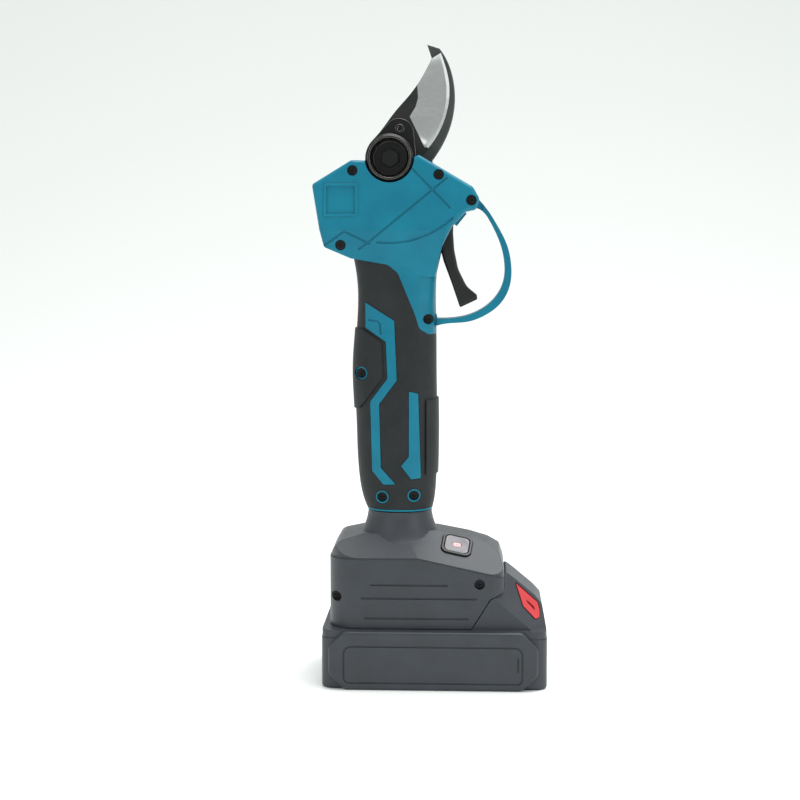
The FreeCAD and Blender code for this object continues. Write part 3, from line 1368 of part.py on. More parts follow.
def make_battery():
    """The slide-on battery with cells, board, contacts and release button."""
    save("battery_tray", tray_body())
    plate_top = pack_box(PACK_HALF - 0.2, TRAY_TOP + EPS, LID_TOP, 0.3)
    rail = box(-21.6, 44.0, -17.0, 17.0, LID_TOP - 1, 34.6)
    head = box(-21.6, 44.0, -21.5, 21.5, 34.0, RAIL_TOP)
    wedge = wedge_form(0).cut(box(-BIG, BIG, -BIG, BIG, 0, TRAY_TOP + EPS))
    lid = fuse([plate_top, rail, head.common(box(-BIG, 43.0, -BIG, BIG, 0, BIG)), wedge])
    lid = lid.cut(wedge_form(2.2).cut(box(-BIG, 46, -BIG, BIG, 0, BIG)).fuse(box(47, 76, -24, 24, 20, 30)))
    rib = box(64.0, 78.0, -0.8, 0.8, 31.0, 52.0).common(wedge_form(1.0))
    window = prism(RELEASE, -40.0, -11.6)
    lid = lid.fuse(rib).cut(window).cut(far_copy(window))
    lid = lid.cut(box(-19.6, 43, -15.0, 15.0, 20, 35.4))
    for y in (-9.0, 9.0):
        lid = lid.cut(box(-22, -10.8, y - 1.6, y + 1.6, 31.2, 37.0))
    for x, y in pack_screw_places():
        lid = lid.cut(cyl_z(x, y, 1.15, 20, 28.6))
    save("battery_lid", biggest(lid))
    cells = []
    straps = []
    first = (PACK_REAR + PACK_FRONT) / 2 - 2 * CELL_PITCH
    for k in range(5):
        x = first + CELL_PITCH * k
        can = cyl_y(x, CELL_Z, CELL_R, -CELL_HALF, CELL_HALF - 0.6)
        cells.append(can.fuse(cyl_y(x, CELL_Z, 3.0, 30, CELL_HALF)))
    save("battery_cells", cells)
    for k in range(4):
        x = first + CELL_PITCH * k
        side = -1 if k % 2 else 1
        y0 = side * (CELL_HALF + 0.02)
        y1 = side * (CELL_HALF + 0.22)
        straps.append(box(x - 2, x + CELL_PITCH + 2, min(y0, y1), max(y0, y1), CELL_Z - 3, CELL_Z + 3))
    save("cell_straps", straps)
    board = box(-19.2, 40.0, -13.0, 13.0, 30.0, 31.5)
    board = board.fuse(box(10.0, 20.0, -5.0, 5.0, 31.4, 33.4))
    save("battery_board", board)
    clips = []
    for y in (-9.0, 9.0):
        for side in (-1, 1):
            middle = y + side * 0.95
            clips.append(box(-21.0, -11.2, middle - 0.45, middle + 0.45, 31.6, 36.6))
    save("battery_contacts", clips)
    screws = []
    for x, y in pack_screw_places():
        head = cyl_z(x, y, 2.4, 1.0, 2.95)
        screws.append(head.fuse(cyl_z(x, y, 1.1, 2.9, 27.6)).cut(cyl_z(x, y, 1.1, 0, 2.2)))
    save("battery_screws", screws)
    make_release()


def make_release():
    """The two release buttons, pinched together from both sides, and their springs."""
    x, z = RELEASE_POST
    outline = face_xz(RELEASE).makeOffset2D(-0.3)
    outline.translate(v(0, -40, 0))
    reach = outline.extrude(v(0, 25.5, 0))
    skin = wedge_form(-0.4).cut(wedge_form(2.0)).common(reach)
    dish = face_xz(RELEASE).makeOffset2D(-2.6)
    dish.translate(v(0, -40, 0))
    skin = skin.cut(wedge_form(-2.0).cut(wedge_form(0.5)).common(dish.extrude(v(0, 30, 0))))
    post = cyl_y(x, z, 2.4, -26.0, -9.6).common(wedge_form(1.0))
    post = post.common(reach.fuse(box(60.0, 80.0, -18.6, -9.0, 30.0, 50.0)))
    button = biggest(skin).fuse(post)
    save("release_button_near", button)
    save("release_button_far", far_copy(button))
    coil_r, wire_r, pitch, turns = 2.3, 0.35, 1.95, 4
    circle = Part.Wire(Part.makeCircle(wire_r, v(coil_r, 0, 0), v(0, 1, 0)))
    coil = Part.Wire(Part.makeHelix(pitch, turns * pitch, coil_r)).makePipeShell([circle], True, True)
    coil.rotate(v(0, 0, 0), v(1, 0, 0), 90)
    coil.translate(v(x, -1.35, z))
    save("release_springs", [coil, far_copy(coil)])


def gear_cover():
    """The round cap over the gear side of the pivot."""
    profile = [(0.0, 14.9), (COVER_R, 14.9), (COVER_R, 19.4), (COVER_R - 1.3, 20.7), (0.0, 20.7)]
    cap = spin_profile(profile, PIVOT, v(0, 1, 0))
    return cap.cut(cyl_y(0, PIVOT_Z, 7.0, 19.3, 30))


def main():
    """Builds every node."""
    os.makedirs(OUT, exist_ok=True)
    for old in os.listdir(OUT):
        os.remove(os.path.join(OUT, old))
    make_housing()
    make_grip()
    make_guard()
    make_blades()
    make_gearbox()
    make_motor()
    make_electronics()
    make_trigger()
    make_base()
    make_battery()
    save("gear_cover", gear_cover())


if __name__ == "__main__":
    main()
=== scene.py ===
"""Looks, camera and light for a pair of cordless pruning shears that stand on their battery."""

import logging
import math
from dataclasses import dataclass, field
from enum import Enum
from typing import Any, Iterable, Optional

import bmesh
import bpy
from mathutils import Matrix, Vector


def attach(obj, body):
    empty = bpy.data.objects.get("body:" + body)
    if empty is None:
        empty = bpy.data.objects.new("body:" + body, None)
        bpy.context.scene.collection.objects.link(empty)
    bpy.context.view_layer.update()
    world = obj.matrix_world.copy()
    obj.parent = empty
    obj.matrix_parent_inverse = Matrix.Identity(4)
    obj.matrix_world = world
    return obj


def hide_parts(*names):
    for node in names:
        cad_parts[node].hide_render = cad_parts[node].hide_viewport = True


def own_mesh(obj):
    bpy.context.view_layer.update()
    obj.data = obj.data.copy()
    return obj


log = logging.getLogger("pruner")
MM = 0.001
COATED_FACE_MM = -5.3  # the moving blade is coated in front of this depth and ground behind it
STREAK_DEG = 28  # how far the grinding streaks lean
GROUND_ROUGHNESS = 0.27
GLOSS_SPREAD = 0.06  # how much the roughness drifts either way
SENSOR_MM = 36.0
LOOK_AT = Vector((0.02, 0.0, 0.17))  # where the lamps point

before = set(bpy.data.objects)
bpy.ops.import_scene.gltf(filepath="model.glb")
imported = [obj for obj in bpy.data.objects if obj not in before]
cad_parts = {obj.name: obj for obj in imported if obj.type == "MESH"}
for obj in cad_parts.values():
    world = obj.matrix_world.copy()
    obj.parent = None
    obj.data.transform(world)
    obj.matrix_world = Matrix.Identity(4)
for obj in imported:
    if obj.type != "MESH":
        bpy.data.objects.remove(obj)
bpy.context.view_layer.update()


# ---- colours and nodes ----------------------------------------------------------------
def srgb(colour: str, alpha: float = 1.0) -> tuple[float, float, float, float]:
    """Turns an sRGB hex colour to linear.

    Args:
        colour: six hex digits with a leading #.
        alpha: the fourth channel.

    Returns:
        Linear red, green, blue and alpha.
    """
    parts = [int(colour[i : i + 2], 16) / 255 for i in (1, 3, 5)]
    linear = [c / 12.92 if c <= 0.04045 else ((c + 0.055) / 1.055) ** 2.4 for c in parts]
    return linear[0], linear[1], linear[2], alpha


def per_mm(size_mm: float) -> float:
    """The texture scale whose features are about size_mm across."""
    return 1.0 / (size_mm * MM)


def add_node(
    tree: bpy.types.NodeTree,
    kind: str,
    settings: Optional[dict[str, Any]] = None,
    links: Optional[dict[Any, bpy.types.NodeSocket]] = None,
) -> bpy.types.Node:
    """Adds a node with its settings and links.

    Args:
        tree: the node tree.
        kind: the node's type name.
        settings: properties by name, and input values by socket name or index.
        links: output sockets by the input's name or index.

    Returns:
        The new node.
    """
    node = tree.nodes.new(kind)
    for key, value in (settings or {}).items():
        if isinstance(key, str) and hasattr(node, key):
            setattr(node, key, value)
        else:
            node.inputs[key].default_value = value
    for key, output in (links or {}).items():
        tree.links.new(output, node.inputs[key])
    return node


class Surface(Enum):
    """How a surface was made: some of these pick a pattern, the rest share the moulded one."""

    MOULDED = "moulded"
    RUBBERY = "rubbery"
    MACHINED = "machined"
    CAST = "cast"
    BLACKENED = "blackened"
    GROUND_BLADE = "ground blade"
    CLEAR = "clear"


@dataclass(frozen=True)
class Finish:
    """One finish: what the material is and how its surface was made."""

    name: str
    slot: str
    surface: Surface
    colour: str
    second: str
    roughness: float
    metallic: float = 0.0
    ior: float = 1.5
    grain_mm: float = 0.6
    relief_mm: float = 0.02
    cloud_mm: float = 18.0
    edge_mm: float = 0.25
    coat: float = 0.0
    specular: float = 0.5
    # colour of the lightened edges, part rubbed wear and part painted highlight; empty for none
    edge_wear_and_highlight: str = ""

    def material(self) -> bpy.types.Material:
        """The Blender material, built on first use.

        Returns:
            The material of this finish.
        """
        known = bpy.data.materials.get(self.name)
        if known:
            return known
        material = bpy.data.materials.new(self.name)
        material.use_nodes = True
        tree = material.node_tree
        tree.nodes.clear()
        where = add_node(tree, "ShaderNodeTexCoord").outputs["Object"]
        shader = add_node(
            tree,
            "ShaderNodeBsdfPrincipled",
            {
                "Roughness": self.roughness,
                "Metallic": self.metallic,
                "IOR": self.ior,
                "Coat Weight": self.coat,
                "Specular IOR Level": self.specular,
            },
        )
        if self.surface is Surface.GROUND_BLADE:
            self._ground(tree, where, shader)
        else:
            self._plain(tree, where, shader)
        if self.surface is Surface.CLEAR:
            shader.inputs["Transmission Weight"].default_value = 0.25
        add_node(tree, "ShaderNodeOutputMaterial", links={"Surface": shader.outputs["BSDF"]})
        return material

    def _clouds(
        self, tree: bpy.types.NodeTree, where: bpy.types.NodeSocket, low: str, high: str, size_mm: float
    ) -> tuple[bpy.types.Node, bpy.types.Node]:
        """Large soft variation between two close colours.

        Args:
            tree: the node tree.
            where: the coordinates.
            low: the darker hex colour.
            high: the lighter hex colour.
            size_mm: how far apart the light and dark parts lie.

        Returns:
            The noise node and the colour ramp.
        """
        noise = add_node(
            tree,
            "ShaderNodeTexNoise",
            {"Scale": per_mm(size_mm), "Detail": 4.0, "Roughness": 0.55},
            {"Vector": where},
        )
        ramp = add_node(tree, "ShaderNodeValToRGB", links={"Fac": noise.outputs["Fac"]})
        ramp.color_ramp.elements[0].position = 0.36
        ramp.color_ramp.elements[1].position = 0.66
        ramp.color_ramp.elements[0].color = srgb(low)
        ramp.color_ramp.elements[1].color = srgb(high)
        return noise, ramp

    def _grain(self, tree: bpy.types.NodeTree, where: bpy.types.NodeSocket) -> bpy.types.NodeSocket:
        """The fine relief: stipple on rubber, turned rings on metal, spark texture on mouldings.

        Args:
            tree: the node tree.
            where: the coordinates.

        Returns:
            The height, from 0 to 1.
        """
        if self.surface is Surface.MACHINED:
            drawn = add_node(tree, "ShaderNodeMapping", {"Scale": (1.0, 1.0, 6.0)}, {"Vector": where})
            return add_node(
                tree,
                "ShaderNodeTexNoise",
                {"Scale": per_mm(self.grain_mm), "Detail": 2.0},
                {"Vector": drawn.outputs[0]},
            ).outputs["Fac"]
        if self.surface is Surface.RUBBERY:
            return add_node(
                tree,
                "ShaderNodeTexVoronoi",
                {"Scale": per_mm(self.grain_mm), "feature": "F1"},
                {"Vector": where},
            ).outputs["Distance"]
        return add_node(
            tree, "ShaderNodeTexNoise", {"Scale": per_mm(self.grain_mm), "Detail": 3.0}, {"Vector": where}
        ).outputs["Fac"]

    def _rounded(self, tree: bpy.types.NodeTree) -> bpy.types.NodeSocket:
        """Normals that turn softly over sharp edges, as a moulding's do."""
        bevel = add_node(tree, "ShaderNodeBevel", {"samples": 4, "Radius": self.edge_mm * MM})
        return bevel.outputs["Normal"]

    def _worn_and_highlit_edges(self, tree: bpy.types.NodeTree, colour: bpy.types.NodeSocket) -> bpy.types.NodeSocket:
        """Lightens a colour along sharp edges: partly wear, where handling rubs a coating off, and partly a
        painted highlight, where the edges catch the light.

        Args:
            tree: the node tree.
            colour: the colour of the faces.

        Returns:
            The colour with its worn and highlit edges.
        """
        plain_normal = add_node(tree, "ShaderNodeNewGeometry").outputs["Normal"]
        turn = add_node(
            tree,
            "ShaderNodeVectorMath",
            {"operation": "DOT_PRODUCT"},
            {0: self._rounded(tree), 1: plain_normal},
        )
        # how much an edge is lightened: rubbed wear and painted highlight
        rubbed_and_highlit = add_node(
            tree,
            "ShaderNodeMapRange",
            {"From Min": 0.99, "From Max": 0.9, "To Max": 0.85},
            {"Value": turn.outputs["Value"]},
        )
        mix = add_node(
            tree,
            "ShaderNodeMix",
            {"data_type": "RGBA", 7: srgb(self.edge_wear_and_highlight)},
            {0: rubbed_and_highlit.outputs["Result"], 6: colour},
        )
        return mix.outputs[2]

    def _plain(self, tree: bpy.types.NodeTree, where: bpy.types.NodeSocket, shader: bpy.types.Node) -> None:
        """One body colour with soft clouds, a fine grain and uneven gloss.

        Args:
            tree: the node tree.
            where: the coordinates.
            shader: the Principled node.
        """
        noise, ramp = self._clouds(tree, where, self.second, self.colour, self.cloud_mm)
        colour = self._worn_and_highlit_edges(tree, ramp.outputs["Color"]) if self.edge_wear_and_highlight else ramp.outputs["Color"]
        tree.links.new(colour, shader.inputs["Base Color"])
        gloss = add_node(
            tree,
            "ShaderNodeMapRange",
            {"To Min": self.roughness - GLOSS_SPREAD, "To Max": self.roughness + GLOSS_SPREAD},
            {"Value": noise.outputs["Fac"]},
        )
        tree.links.new(gloss.outputs["Result"], shader.inputs["Roughness"])
        bump = add_node(
            tree,
            "ShaderNodeBump",
            {"Strength": 0.6, "Distance": self.relief_mm * MM},
            {"Height": self._grain(tree, where), "Normal": self._rounded(tree)},
        )
        tree.links.new(bump.outputs["Normal"], shader.inputs["Normal"])

    def _ground(self, tree: bpy.types.NodeTree, where: bpy.types.NodeSocket, shader: bpy.types.Node) -> None:
        """Bright ground steel below the coated face, dark coating on that face and on the sides.

        Args:
            tree: the node tree.
            where: the coordinates.
            shader: the Principled node.
        """
        place = add_node(tree, "ShaderNodeSeparateXYZ", links={"Vector": where})
        below = add_node(
            tree,
            "ShaderNodeMath",
            {"operation": "GREATER_THAN", 1: COATED_FACE_MM * MM},
            {0: place.outputs["Y"]},
        )
        facing = add_node(
            tree,
            "ShaderNodeSeparateXYZ",
            links={"Vector": add_node(tree, "ShaderNodeNewGeometry").outputs["True Normal"]},
        )
        size = add_node(tree, "ShaderNodeMath", {"operation": "ABSOLUTE"}, {0: facing.outputs["Y"]})
        face = add_node(tree, "ShaderNodeMath", {"operation": "GREATER_THAN", 1: 0.5}, {0: size.outputs[0]})
        ground = add_node(
            tree, "ShaderNodeMath", {"operation": "MULTIPLY"}, {0: below.outputs[0], 1: face.outputs[0]}
        )
        across = add_node(
            tree,
            "ShaderNodeMapping",
            {"Rotation": (0.0, math.radians(STREAK_DEG), 0.0), "Scale": (0.12, 1.0, 1.0)},
            {"Vector": where},
        )
        streaks = add_node(
            tree,
            "ShaderNodeTexNoise",
            {"Scale": per_mm(self.grain_mm), "Detail": 3.0},
            {"Vector": across.outputs[0]},
        )
        bright = add_node(tree, "ShaderNodeValToRGB", links={"Fac": streaks.outputs["Fac"]})
        bright.color_ramp.elements[0].color = srgb("#989a9b")
        bright.color_ramp.elements[1].color = srgb("#b9bbbb")
        _, dark = self._clouds(tree, where, self.second, self.colour, self.cloud_mm)
        base = add_node(
            tree,
            "ShaderNodeMix",
            {"data_type": "RGBA"},
            {0: ground.outputs[0], 6: dark.outputs["Color"], 7: bright.outputs["Color"]},
        )
        tree.links.new(base.outputs[2], shader.inputs["Base Color"])
        gloss = add_node(
            tree,
            "ShaderNodeMapRange",
            {"To Min": self.roughness, "To Max": GROUND_ROUGHNESS},
            {"Value": ground.outputs[0]},
        )
        tree.links.new(gloss.outputs["Result"], shader.inputs["Roughness"])
        bump = add_node(
            tree,
            "ShaderNodeBump",
            {"Strength": 0.4, "Distance": self.relief_mm * MM},
            {"Height": streaks.outputs["Fac"]},
        )
        tree.links.new(bump.outputs["Normal"], shader.inputs["Normal"])


# Teal ABS, injection moulded with a light satin: even colour, soft highlights on the edges.
TEAL = Finish(
    "teal_abs",
    "teal_shell",
    Surface.MOULDED,
    "#03748c",
    "#036a83",
    0.38,
    edge_mm=0.5,
    relief_mm=0.012,
    specular=0.25,
)
# Soft thermoplastic rubber over the handle: near black and quite matt, with a stippled skin.
RUBBER = Finish(
    "grip_tpe",
    "grip_rubber",
    Surface.RUBBERY,
    "#26292a",
    "#1e2122",
    0.55,
    ior=1.47,
    grain_mm=0.8,
    relief_mm=0.05,
    specular=0.25,
)
# Grey glass-filled nylon with a spark-eroded texture: broad, weak highlights.
GREY = Finish(
    "grey_nylon",
    "grey_case",
    Surface.MOULDED,
    "#363a40",
    "#303439",
    0.42,
    edge_mm=0.6,
    grain_mm=0.7,
    relief_mm=0.03,
    specular=0.4,
)
# Black nylon, smoother than the case: a thin gloss along its edges.
BLACK = Finish(
    "black_nylon",
    "black_plastic",
    Surface.MOULDED,
    "#121315",
    "#0e0f11",
    0.32,
    edge_mm=0.4,
    specular=0.4,
)
# Grey nylon with a polished skin, on the face of the power button.
FACE = Finish(
    "button_nylon",
    "black_plastic",
    Surface.MOULDED,
    "#66646a",
    "#5c5a60",
    0.25,
    edge_mm=0.4,
    relief_mm=0.004,
)
# Red ABS of the battery's release buttons.
RED = Finish("red_abs", "red_button", Surface.MOULDED, "#c8383c", "#b62f33", 0.36, edge_mm=0.4)
# Clear polycarbonate over the indicator, pinkish where the lamp is behind it.
LENS = Finish(
    "clear_polycarbonate",
    "lens",
    Surface.CLEAR,
    "#c98f97",
    "#b97e86",
    0.15,
    ior=1.585,
    relief_mm=0.002,
)
# Pale print on the button's window.
MARK = Finish("pale_mark", "lens", Surface.MOULDED, "#f4dcde", "#efd2d5", 0.3, relief_mm=0.002, edge_mm=0.05)
# Blade steel: a dark anti-rust coating, ground bright along the cutting edge.
BLADE = Finish(
    "ground_blade_steel",
    "blade_steel",
    Surface.GROUND_BLADE,
    "#3a3c3b",
    "#2f3130",
    0.4,
    metallic=0.85,
    grain_mm=0.35,
    relief_mm=0.004,
)
# The counter blade wears the same coating, unground, with its edges lightened both as rubbed wear and as a
# painted highlight.
HOOK = Finish(
    "coated_blade_steel",
    "blade_steel",
    Surface.CAST,
    "#4e5251",
    "#414443",
    0.38,
    metallic=0.8,
    relief_mm=0.01,
    edge_mm=0.35,
    edge_wear_and_highlight="#b4b8b6",
)
# Black oxide on screws, nut and locking plate: dark with a dull metal gloss, with its edges lightened both
# as rubbed wear and as a painted highlight.
OXIDE = Finish(
    "black_oxide_steel",
    "black_steel",
    Surface.BLACKENED,
    "#141517",
    "#0f1011",
    0.36,
    metallic=0.5,
    relief_mm=0.006,
    edge_mm=0.45,
    edge_wear_and_highlight="#a39c97",
)
# The same oxide on screws deep in their wells and on the pivot's end, with no rubbed edges, and with its
# colour darkened as painted shade for those recesses.
SHADE_DARKENED_OXIDE = Finish(
    "shade_darkened_oxide_steel",
    "black_steel",
    Surface.BLACKENED,
    "#101113",
    "#0c0d0e",
    0.45,
    metallic=0.4,
    relief_mm=0.006,
)
# Machined steel of gears, shafts and bearings.
STEEL = Finish(
    "machined_steel",
    "steel",
    Surface.MACHINED,
    "#b7babb",
    "#a3a7a8",
    0.3,
    metallic=1.0,
    relief_mm=0.004,
)
# Die-cast aluminium bracket with a pebbly skin.
CAST = Finish("cast_aluminium", "cast_bracket", Surface.CAST, "#a8abad", "#989c9e", 0.48, metallic=1.0)
# Sintered bronze bush.
BRONZE = Finish("sintered_bronze", "bronze", Surface.CAST, "#b08b4a", "#9b793f", 0.42, metallic=1.0)
# Green lacquered circuit board.
BOARD = Finish("board_lacquer", "board", Surface.MOULDED, "#1f6a40", "#185432", 0.3, coat=0.3)
# Copper windings and contacts.
COPPER = Finish("drawn_copper", "copper", Surface.MACHINED, "#c07c4c", "#a8683d", 0.3, metallic=1.0)
# Blue shrink wrap round the cells.
WRAP = Finish("cell_shrink_wrap", "cell_wrap", Surface.MOULDED, "#3a7fa6", "#336f92", 0.3)
# Plated magnets.
MAGNET = Finish("plated_magnet", "magnet", Surface.MACHINED, "#77797c", "#686a6d", 0.35, metallic=1.0)


def dress(finish: Finish, nodes: Iterable[str]) -> None:
    """Gives CAD nodes a finish.

    Args:
        finish: the finish.
        nodes: the nodes' names.
    """
    for name in nodes:
        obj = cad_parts[name]
        if not obj.material_slots:
            obj.data.materials.append(finish.material())
        for slot in obj.material_slots:
            slot.material = finish.material()
        log.info("dressed %s in %s", name, finish.name)


def piece(name: str, mesh: bmesh.types.BMesh, finish: Finish, body: str) -> bpy.types.Object:
    """Turns a bmesh into a smooth-shaded piece that rides on a body.

    Args:
        name: the piece's name.
        mesh: the bmesh, freed here.
        finish: its finish.
        body: the CAD body it moves with.

    Returns:
        The new object.
    """
    bmesh.ops.recalc_face_normals(mesh, faces=mesh.faces)
    for face in mesh.faces:
        face.smooth = True
    data = bpy.data.meshes.new(name)
    mesh.to_mesh(data)
    mesh.free()
    obj = bpy.data.objects.new(name, data)
    bpy.context.scene.collection.objects.link(obj)
    data.materials.append(finish.material())
    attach(obj, body)
    log.info("made %s on %s", name, body)
    return obj


# ---- sub-assemblies -------------------------------------------------------------------
@dataclass
class Shells:
    """The teal housing, the guard and the rubber grip."""

    teal: tuple[str, ...] = ("housing_near", "housing_far", "trigger_guard")
    rubber: tuple[str, ...] = ("grip_near", "grip_far")
    screws: tuple[str, ...] = ("head_screws", "handle_screws")

    def build(self) -> None:
        """Dresses the shells and their screws."""
        dress(TEAL, self.teal)
        dress(RUBBER, self.rubber)
        # the screws sit in wells, and their darker oxide is painted shade
        dress(SHADE_DARKENED_OXIDE, self.screws)


@dataclass
class Blades:
    """Both blades, the pivot and what locks it."""

    def build(self) -> None:
        """Dresses the blades and the pivot."""
        dress(BLADE, ("moving_blade",))
        dress(HOOK, ("fixed_blade",))
        dress(OXIDE, ("lock_plate", "lock_screw", "pivot_nut", "fixed_blade_bolts"))
        # the darker oxide paints the shade inside the pivot nut's dish
        dress(SHADE_DARKENED_OXIDE, ("pivot_shaft",))
        dress(BLACK, ("gear_cover",))


@dataclass
class Drive:
    """Gears, bracket, motor and controller."""

    steel: tuple[str, ...] = (
        "sector_gear",
        "bevel_pinion",
        "output_bearing",
        "bearing_inner_race",
        "ring_gear",
        "planet_gear_1",
        "planet_gear_2",
        "planet_gear_3",
        "planet_carrier",
        "sun_gear",
        "gearbox_plate",
        "motor_shaft",
    )

    def build(self) -> None:
        """Dresses the drive."""
        dress(STEEL, self.steel)
        dress(CAST, ("head_bracket",))
        dress(BRONZE, ("pivot_bush",))
        dress(OXIDE, ("motor_can",))
        dress(BLACK, ("motor_end_bell",))
        dress(COPPER, ("motor_stator", "power_leads"))
        dress(MAGNET, ("motor_rotor",))
        dress(BOARD, ("controller_board",))


@dataclass
class TriggerGroup:
    """The trigger and what senses it."""

    def build(self) -> None:
        """Dresses the trigger's pieces."""
        dress(BLACK, ("trigger",))
        dress(STEEL, ("trigger_pin", "trigger_spring"))
        dress(MAGNET, ("trigger_magnet",))
        dress(BOARD, ("trigger_sensor_board",))


@dataclass
class Base:
    """The battery adapter with its power button."""

    def build(self) -> None:
        """Dresses the adapter's pieces."""
        dress(GREY, ("base_shell_near", "base_shell_far"))
        dress(SHADE_DARKENED_OXIDE, ("base_screws",))
        dress(BLACK, ("rail_plate", "terminal_block", "button_bezel"))
        dress(FACE, ("power_button",))
        dress(COPPER, ("terminal_blades",))
        dress(BOARD, ("switch_board",))
        dress(LENS, ("button_lens",))


@dataclass
class PowerMark:
    """The ring and bar on the power button's window."""

    middle_mm: tuple[float, float, float] = (34.0, -16.4, 70.17)
    along: tuple[float, float, float] = (0.97748, 0.0, -0.2111)
    outward: tuple[float, float, float] = (0.17981, -0.523865, 0.832604)
    height_mm: float = 0.3
    ring_mm: float = 1.05
    wire_mm: float = 0.15
    gap_deg: float = 80.0
    bar_mm: float = 1.1

    def build(self) -> None:
        """Makes the mark and lets it ride the button."""
        mesh = bmesh.new()
        across = Matrix.Translation((self.ring_mm * MM, 0, 0)) @ Matrix.Rotation(math.pi / 2, 4, "X")
        bmesh.ops.create_circle(mesh, cap_ends=True, radius=self.wire_mm * MM, segments=10, matrix=across)
        opening = math.radians(90 + self.gap_deg / 2)
        bmesh.ops.rotate(mesh, verts=mesh.verts[:], cent=(0, 0, 0), matrix=Matrix.Rotation(opening, 3, "Z"))
        bmesh.ops.spin(
            mesh,
            geom=mesh.faces[:] + mesh.edges[:] + mesh.verts[:],
            cent=(0, 0, 0),
            axis=(0, 0, 1),
            angle=math.radians(360 - self.gap_deg),
            steps=32,
        )
        stretch = Matrix.Diagonal((2 * self.wire_mm * MM, self.bar_mm * MM, 2 * self.wire_mm * MM, 1))
        lift = Matrix.Translation((0, self.ring_mm * MM * 0.75, 0))
        bar = bmesh.ops.create_cube(mesh, size=1.0, matrix=lift @ stretch)
        edges = {edge for vert in bar["verts"] for edge in vert.link_edges}
        bmesh.ops.bevel(
            mesh,
            geom=list(edges),
            offset=self.wire_mm * MM * 0.6,
            affect="EDGES",
            segments=3,
            profile=0.5,
            material=-1,
        )
        outward, along = Vector(self.outward), Vector(self.along)
        turned = Matrix((along, outward.cross(along), outward)).transposed().to_4x4()
        place = (Vector(self.middle_mm) + outward * self.height_mm) * MM
        bmesh.ops.transform(mesh, verts=mesh.verts[:], matrix=Matrix.Translation(place) @ turned)
        piece("power_mark", mesh, MARK, "power_button")


@dataclass
class Battery:
    """The slide-on battery."""

    def build(self) -> None:
        """Dresses the battery's pieces."""
        dress(GREY, ("battery_tray", "battery_lid"))
        dress(RED, ("release_button_near", "release_button_far"))
        dress(WRAP, ("battery_cells",))
        dress(COPPER, ("cell_straps", "battery_contacts"))
        dress(BOARD, ("battery_board",))
        dress(SHADE_DARKENED_OXIDE, ("battery_screws",))


@dataclass
class ReleaseSprings:
    """The two coils behind the release buttons. In the real pack they shorten as the buttons go in; here
    they are wound at one fixed length.
    """

    axis_mm: tuple[float, float] = (70.2, 40.0)
    inner_mm: float = 1.35
    coil_mm: float = 2.3
    wire_mm: float = 0.35
    pitch_mm: float = 1.95
    turns: int = 4
    steps_per_turn: int = 28
    kept_length: float = 0.78

    def _coil(self, side: int) -> bmesh.types.BMesh:
        """Winds one spring outward from the middle of the battery.

        Args:
            side: -1 for the near one, 1 for the far one.

        Returns:
            The coil's mesh.
        """
        mesh = bmesh.new()
        start = Vector((self.axis_mm[0] + self.coil_mm, side * self.inner_mm, self.axis_mm[1])) * MM
        bmesh.ops.create_circle(
            mesh, cap_ends=True, radius=self.wire_mm * MM, segments=12, matrix=Matrix.Translation(start)
        )
        steps = self.turns * self.steps_per_turn
        bmesh.ops.spin(
            mesh,
            geom=mesh.faces[:] + mesh.edges[:] + mesh.verts[:],
            cent=Vector((self.axis_mm[0], side * self.inner_mm, self.axis_mm[1])) * MM,
            axis=(0.0, 1.0, 0.0),
            dvec=(0.0, side * self.turns * self.pitch_mm * MM / steps, 0.0),
            angle=math.radians(360 * self.turns),
            steps=steps,
        )
        return mesh

    def build(self) -> None:
        """Makes both springs in place of the CAD's rigid ones."""
        for side, word in ((-1, "near"), (1, "far")):
            spring = piece(f"release_spring_{word}", self._coil(side), STEEL, "battery")
            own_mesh(spring)
            if side < 0:
                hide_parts("release_springs")


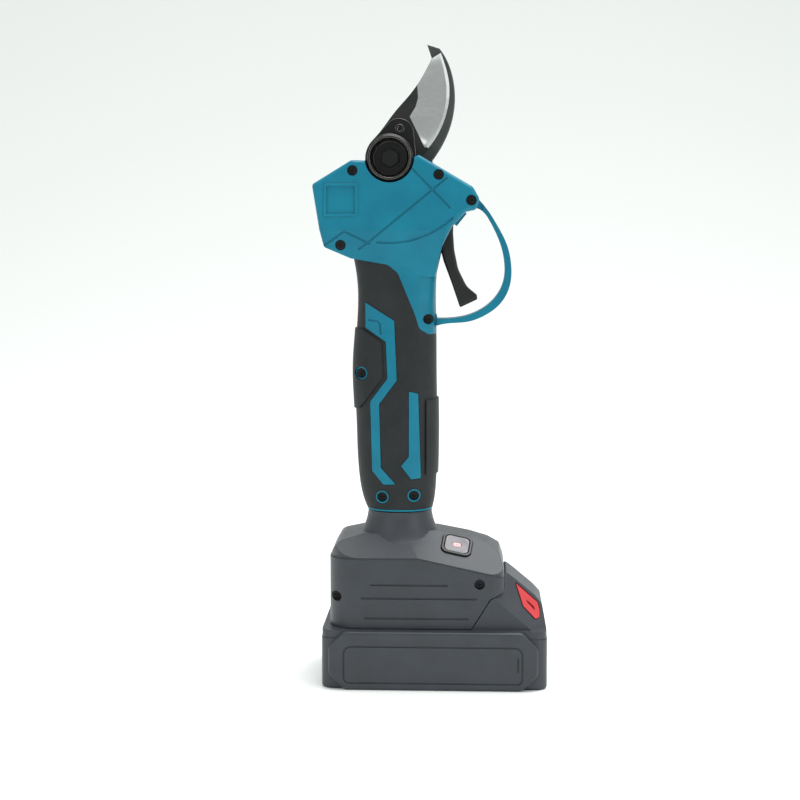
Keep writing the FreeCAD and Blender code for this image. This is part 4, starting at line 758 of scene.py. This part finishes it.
@dataclass
class Studio:
    """Camera, sweep and soft light."""

    eye_mm: tuple[float, float, float] = (42.8, -879.2, 235.0)
    turn_deg: float = 2.5
    tip_deg: float = 6.01
    lens_mm: float = 77.6
    reach_m: float = 4.0
    bend_y_m: float = 0.9
    bend_m: float = 1.4
    bend_steps: int = 24
    paper: str = "#f6f8f7"
    sky: str = "#f3f6f4"
    sky_strength: float = 0.8
    lamps: tuple[tuple[str, tuple[float, float, float], float, float, str], ...] = field(
        default=(
            ("overhead", (0.22, 0.1, 1.3), 1.0, 19.0, "#ffffff"),
            ("front_left", (-1.1, -1.3, 0.75), 0.8, 3.0, "#ffffff"),
            ("front_right", (1.3, -0.9, 0.6), 0.8, 4.0, "#fbfffe"),
        )
    )

    def camera(self) -> None:
        """Sets the camera at the tool's side, a little above the handle."""
        turn, tip = math.radians(self.turn_deg), math.radians(self.tip_deg)
        ahead = Vector((-math.sin(turn) * math.cos(tip), math.cos(turn) * math.cos(tip), -math.sin(tip)))
        data = bpy.data.cameras.new("camera")
        data.lens = self.lens_mm
        data.sensor_width = SENSOR_MM
        data.clip_start = 0.02
        data.clip_end = 20.0
        obj = bpy.data.objects.new("camera", data)
        obj.location = Vector(self.eye_mm) * MM
        obj.rotation_euler = ahead.to_track_quat("-Z", "Y").to_euler()
        bpy.context.scene.collection.objects.link(obj)
        bpy.context.scene.camera = obj

    def sweep(self) -> None:
        """Lays a pale paper sweep: a floor that curves up into the backdrop."""
        middle, radius = Vector((0.0, self.bend_y_m, self.bend_m)), self.bend_m
        bends = [math.radians(90 * step / self.bend_steps) for step in range(self.bend_steps + 1)]
        profile = [Vector((0.0, -self.reach_m, 0.0))]
        profile += [middle + Vector((0.0, math.sin(turn), -math.cos(turn))) * radius for turn in bends]
        profile += [Vector((0.0, self.bend_y_m + radius, self.reach_m))]
        mesh = bmesh.new()
        row = [mesh.verts.new(point - Vector((self.reach_m, 0.0, 0.0))) for point in profile]
        edges = [mesh.edges.new(pair) for pair in zip(row, row[1:])]
        pulled = bmesh.ops.extrude_edge_only(mesh, edges=edges)["geom"]
        moved = [item for item in pulled if isinstance(item, bmesh.types.BMVert)]
        bmesh.ops.translate(mesh, verts=moved, vec=(2 * self.reach_m, 0.0, 0.0))
        for face in mesh.faces:
            face.smooth = True
        data = bpy.data.meshes.new("sweep")
        mesh.to_mesh(data)
        mesh.free()
        obj = bpy.data.objects.new("sweep", data)
        bpy.context.scene.collection.objects.link(obj)
        material = bpy.data.materials.new("pale_paper")
        material.use_nodes = True
        shader = material.node_tree.nodes["Principled BSDF"]
        shader.inputs["Base Color"].default_value = srgb(self.paper)
        shader.inputs["Roughness"].default_value = 0.9
        shader.inputs["Specular IOR Level"].default_value = 0.1
        data.materials.append(material)

    def light(self) -> None:
        """Adds a pale surround and large soft lamps."""
        world = bpy.data.worlds.new("surround")
        world.use_nodes = True
        back = world.node_tree.nodes["Background"]
        back.inputs["Color"].default_value = srgb(self.sky)
        back.inputs["Strength"].default_value = self.sky_strength
        bpy.context.scene.world = world
        for name, place, size, power, colour in self.lamps:
            data = bpy.data.lights.new(name, "AREA")
            data.size = size
            data.energy = power
            data.color = srgb(colour)[:3]
            obj = bpy.data.objects.new(name, data)
            obj.location = place
            aim = LOOK_AT - Vector(place)
            obj.rotation_euler = aim.to_track_quat("-Z", "Y").to_euler()
            bpy.context.scene.collection.objects.link(obj)

    def build(self) -> None:
        """Sets camera, sweep and light."""
        self.camera()
        self.sweep()
        self.light()
        bpy.context.scene.view_settings.view_transform = "Standard"


def main() -> None:
    """Builds every sub-assembly in order."""
    logging.basicConfig(level=logging.INFO, format="%(name)s: %(message)s")
    groups = (
        Studio(),
        Shells(),
        Blades(),
        Drive(),
        TriggerGroup(),
        Base(),
        PowerMark(),
        Battery(),
        ReleaseSprings(),
    )
    for part in groups:
        part.build()
        log.info("built %s", type(part).__name__)


if __name__ == "__main__":
    main()
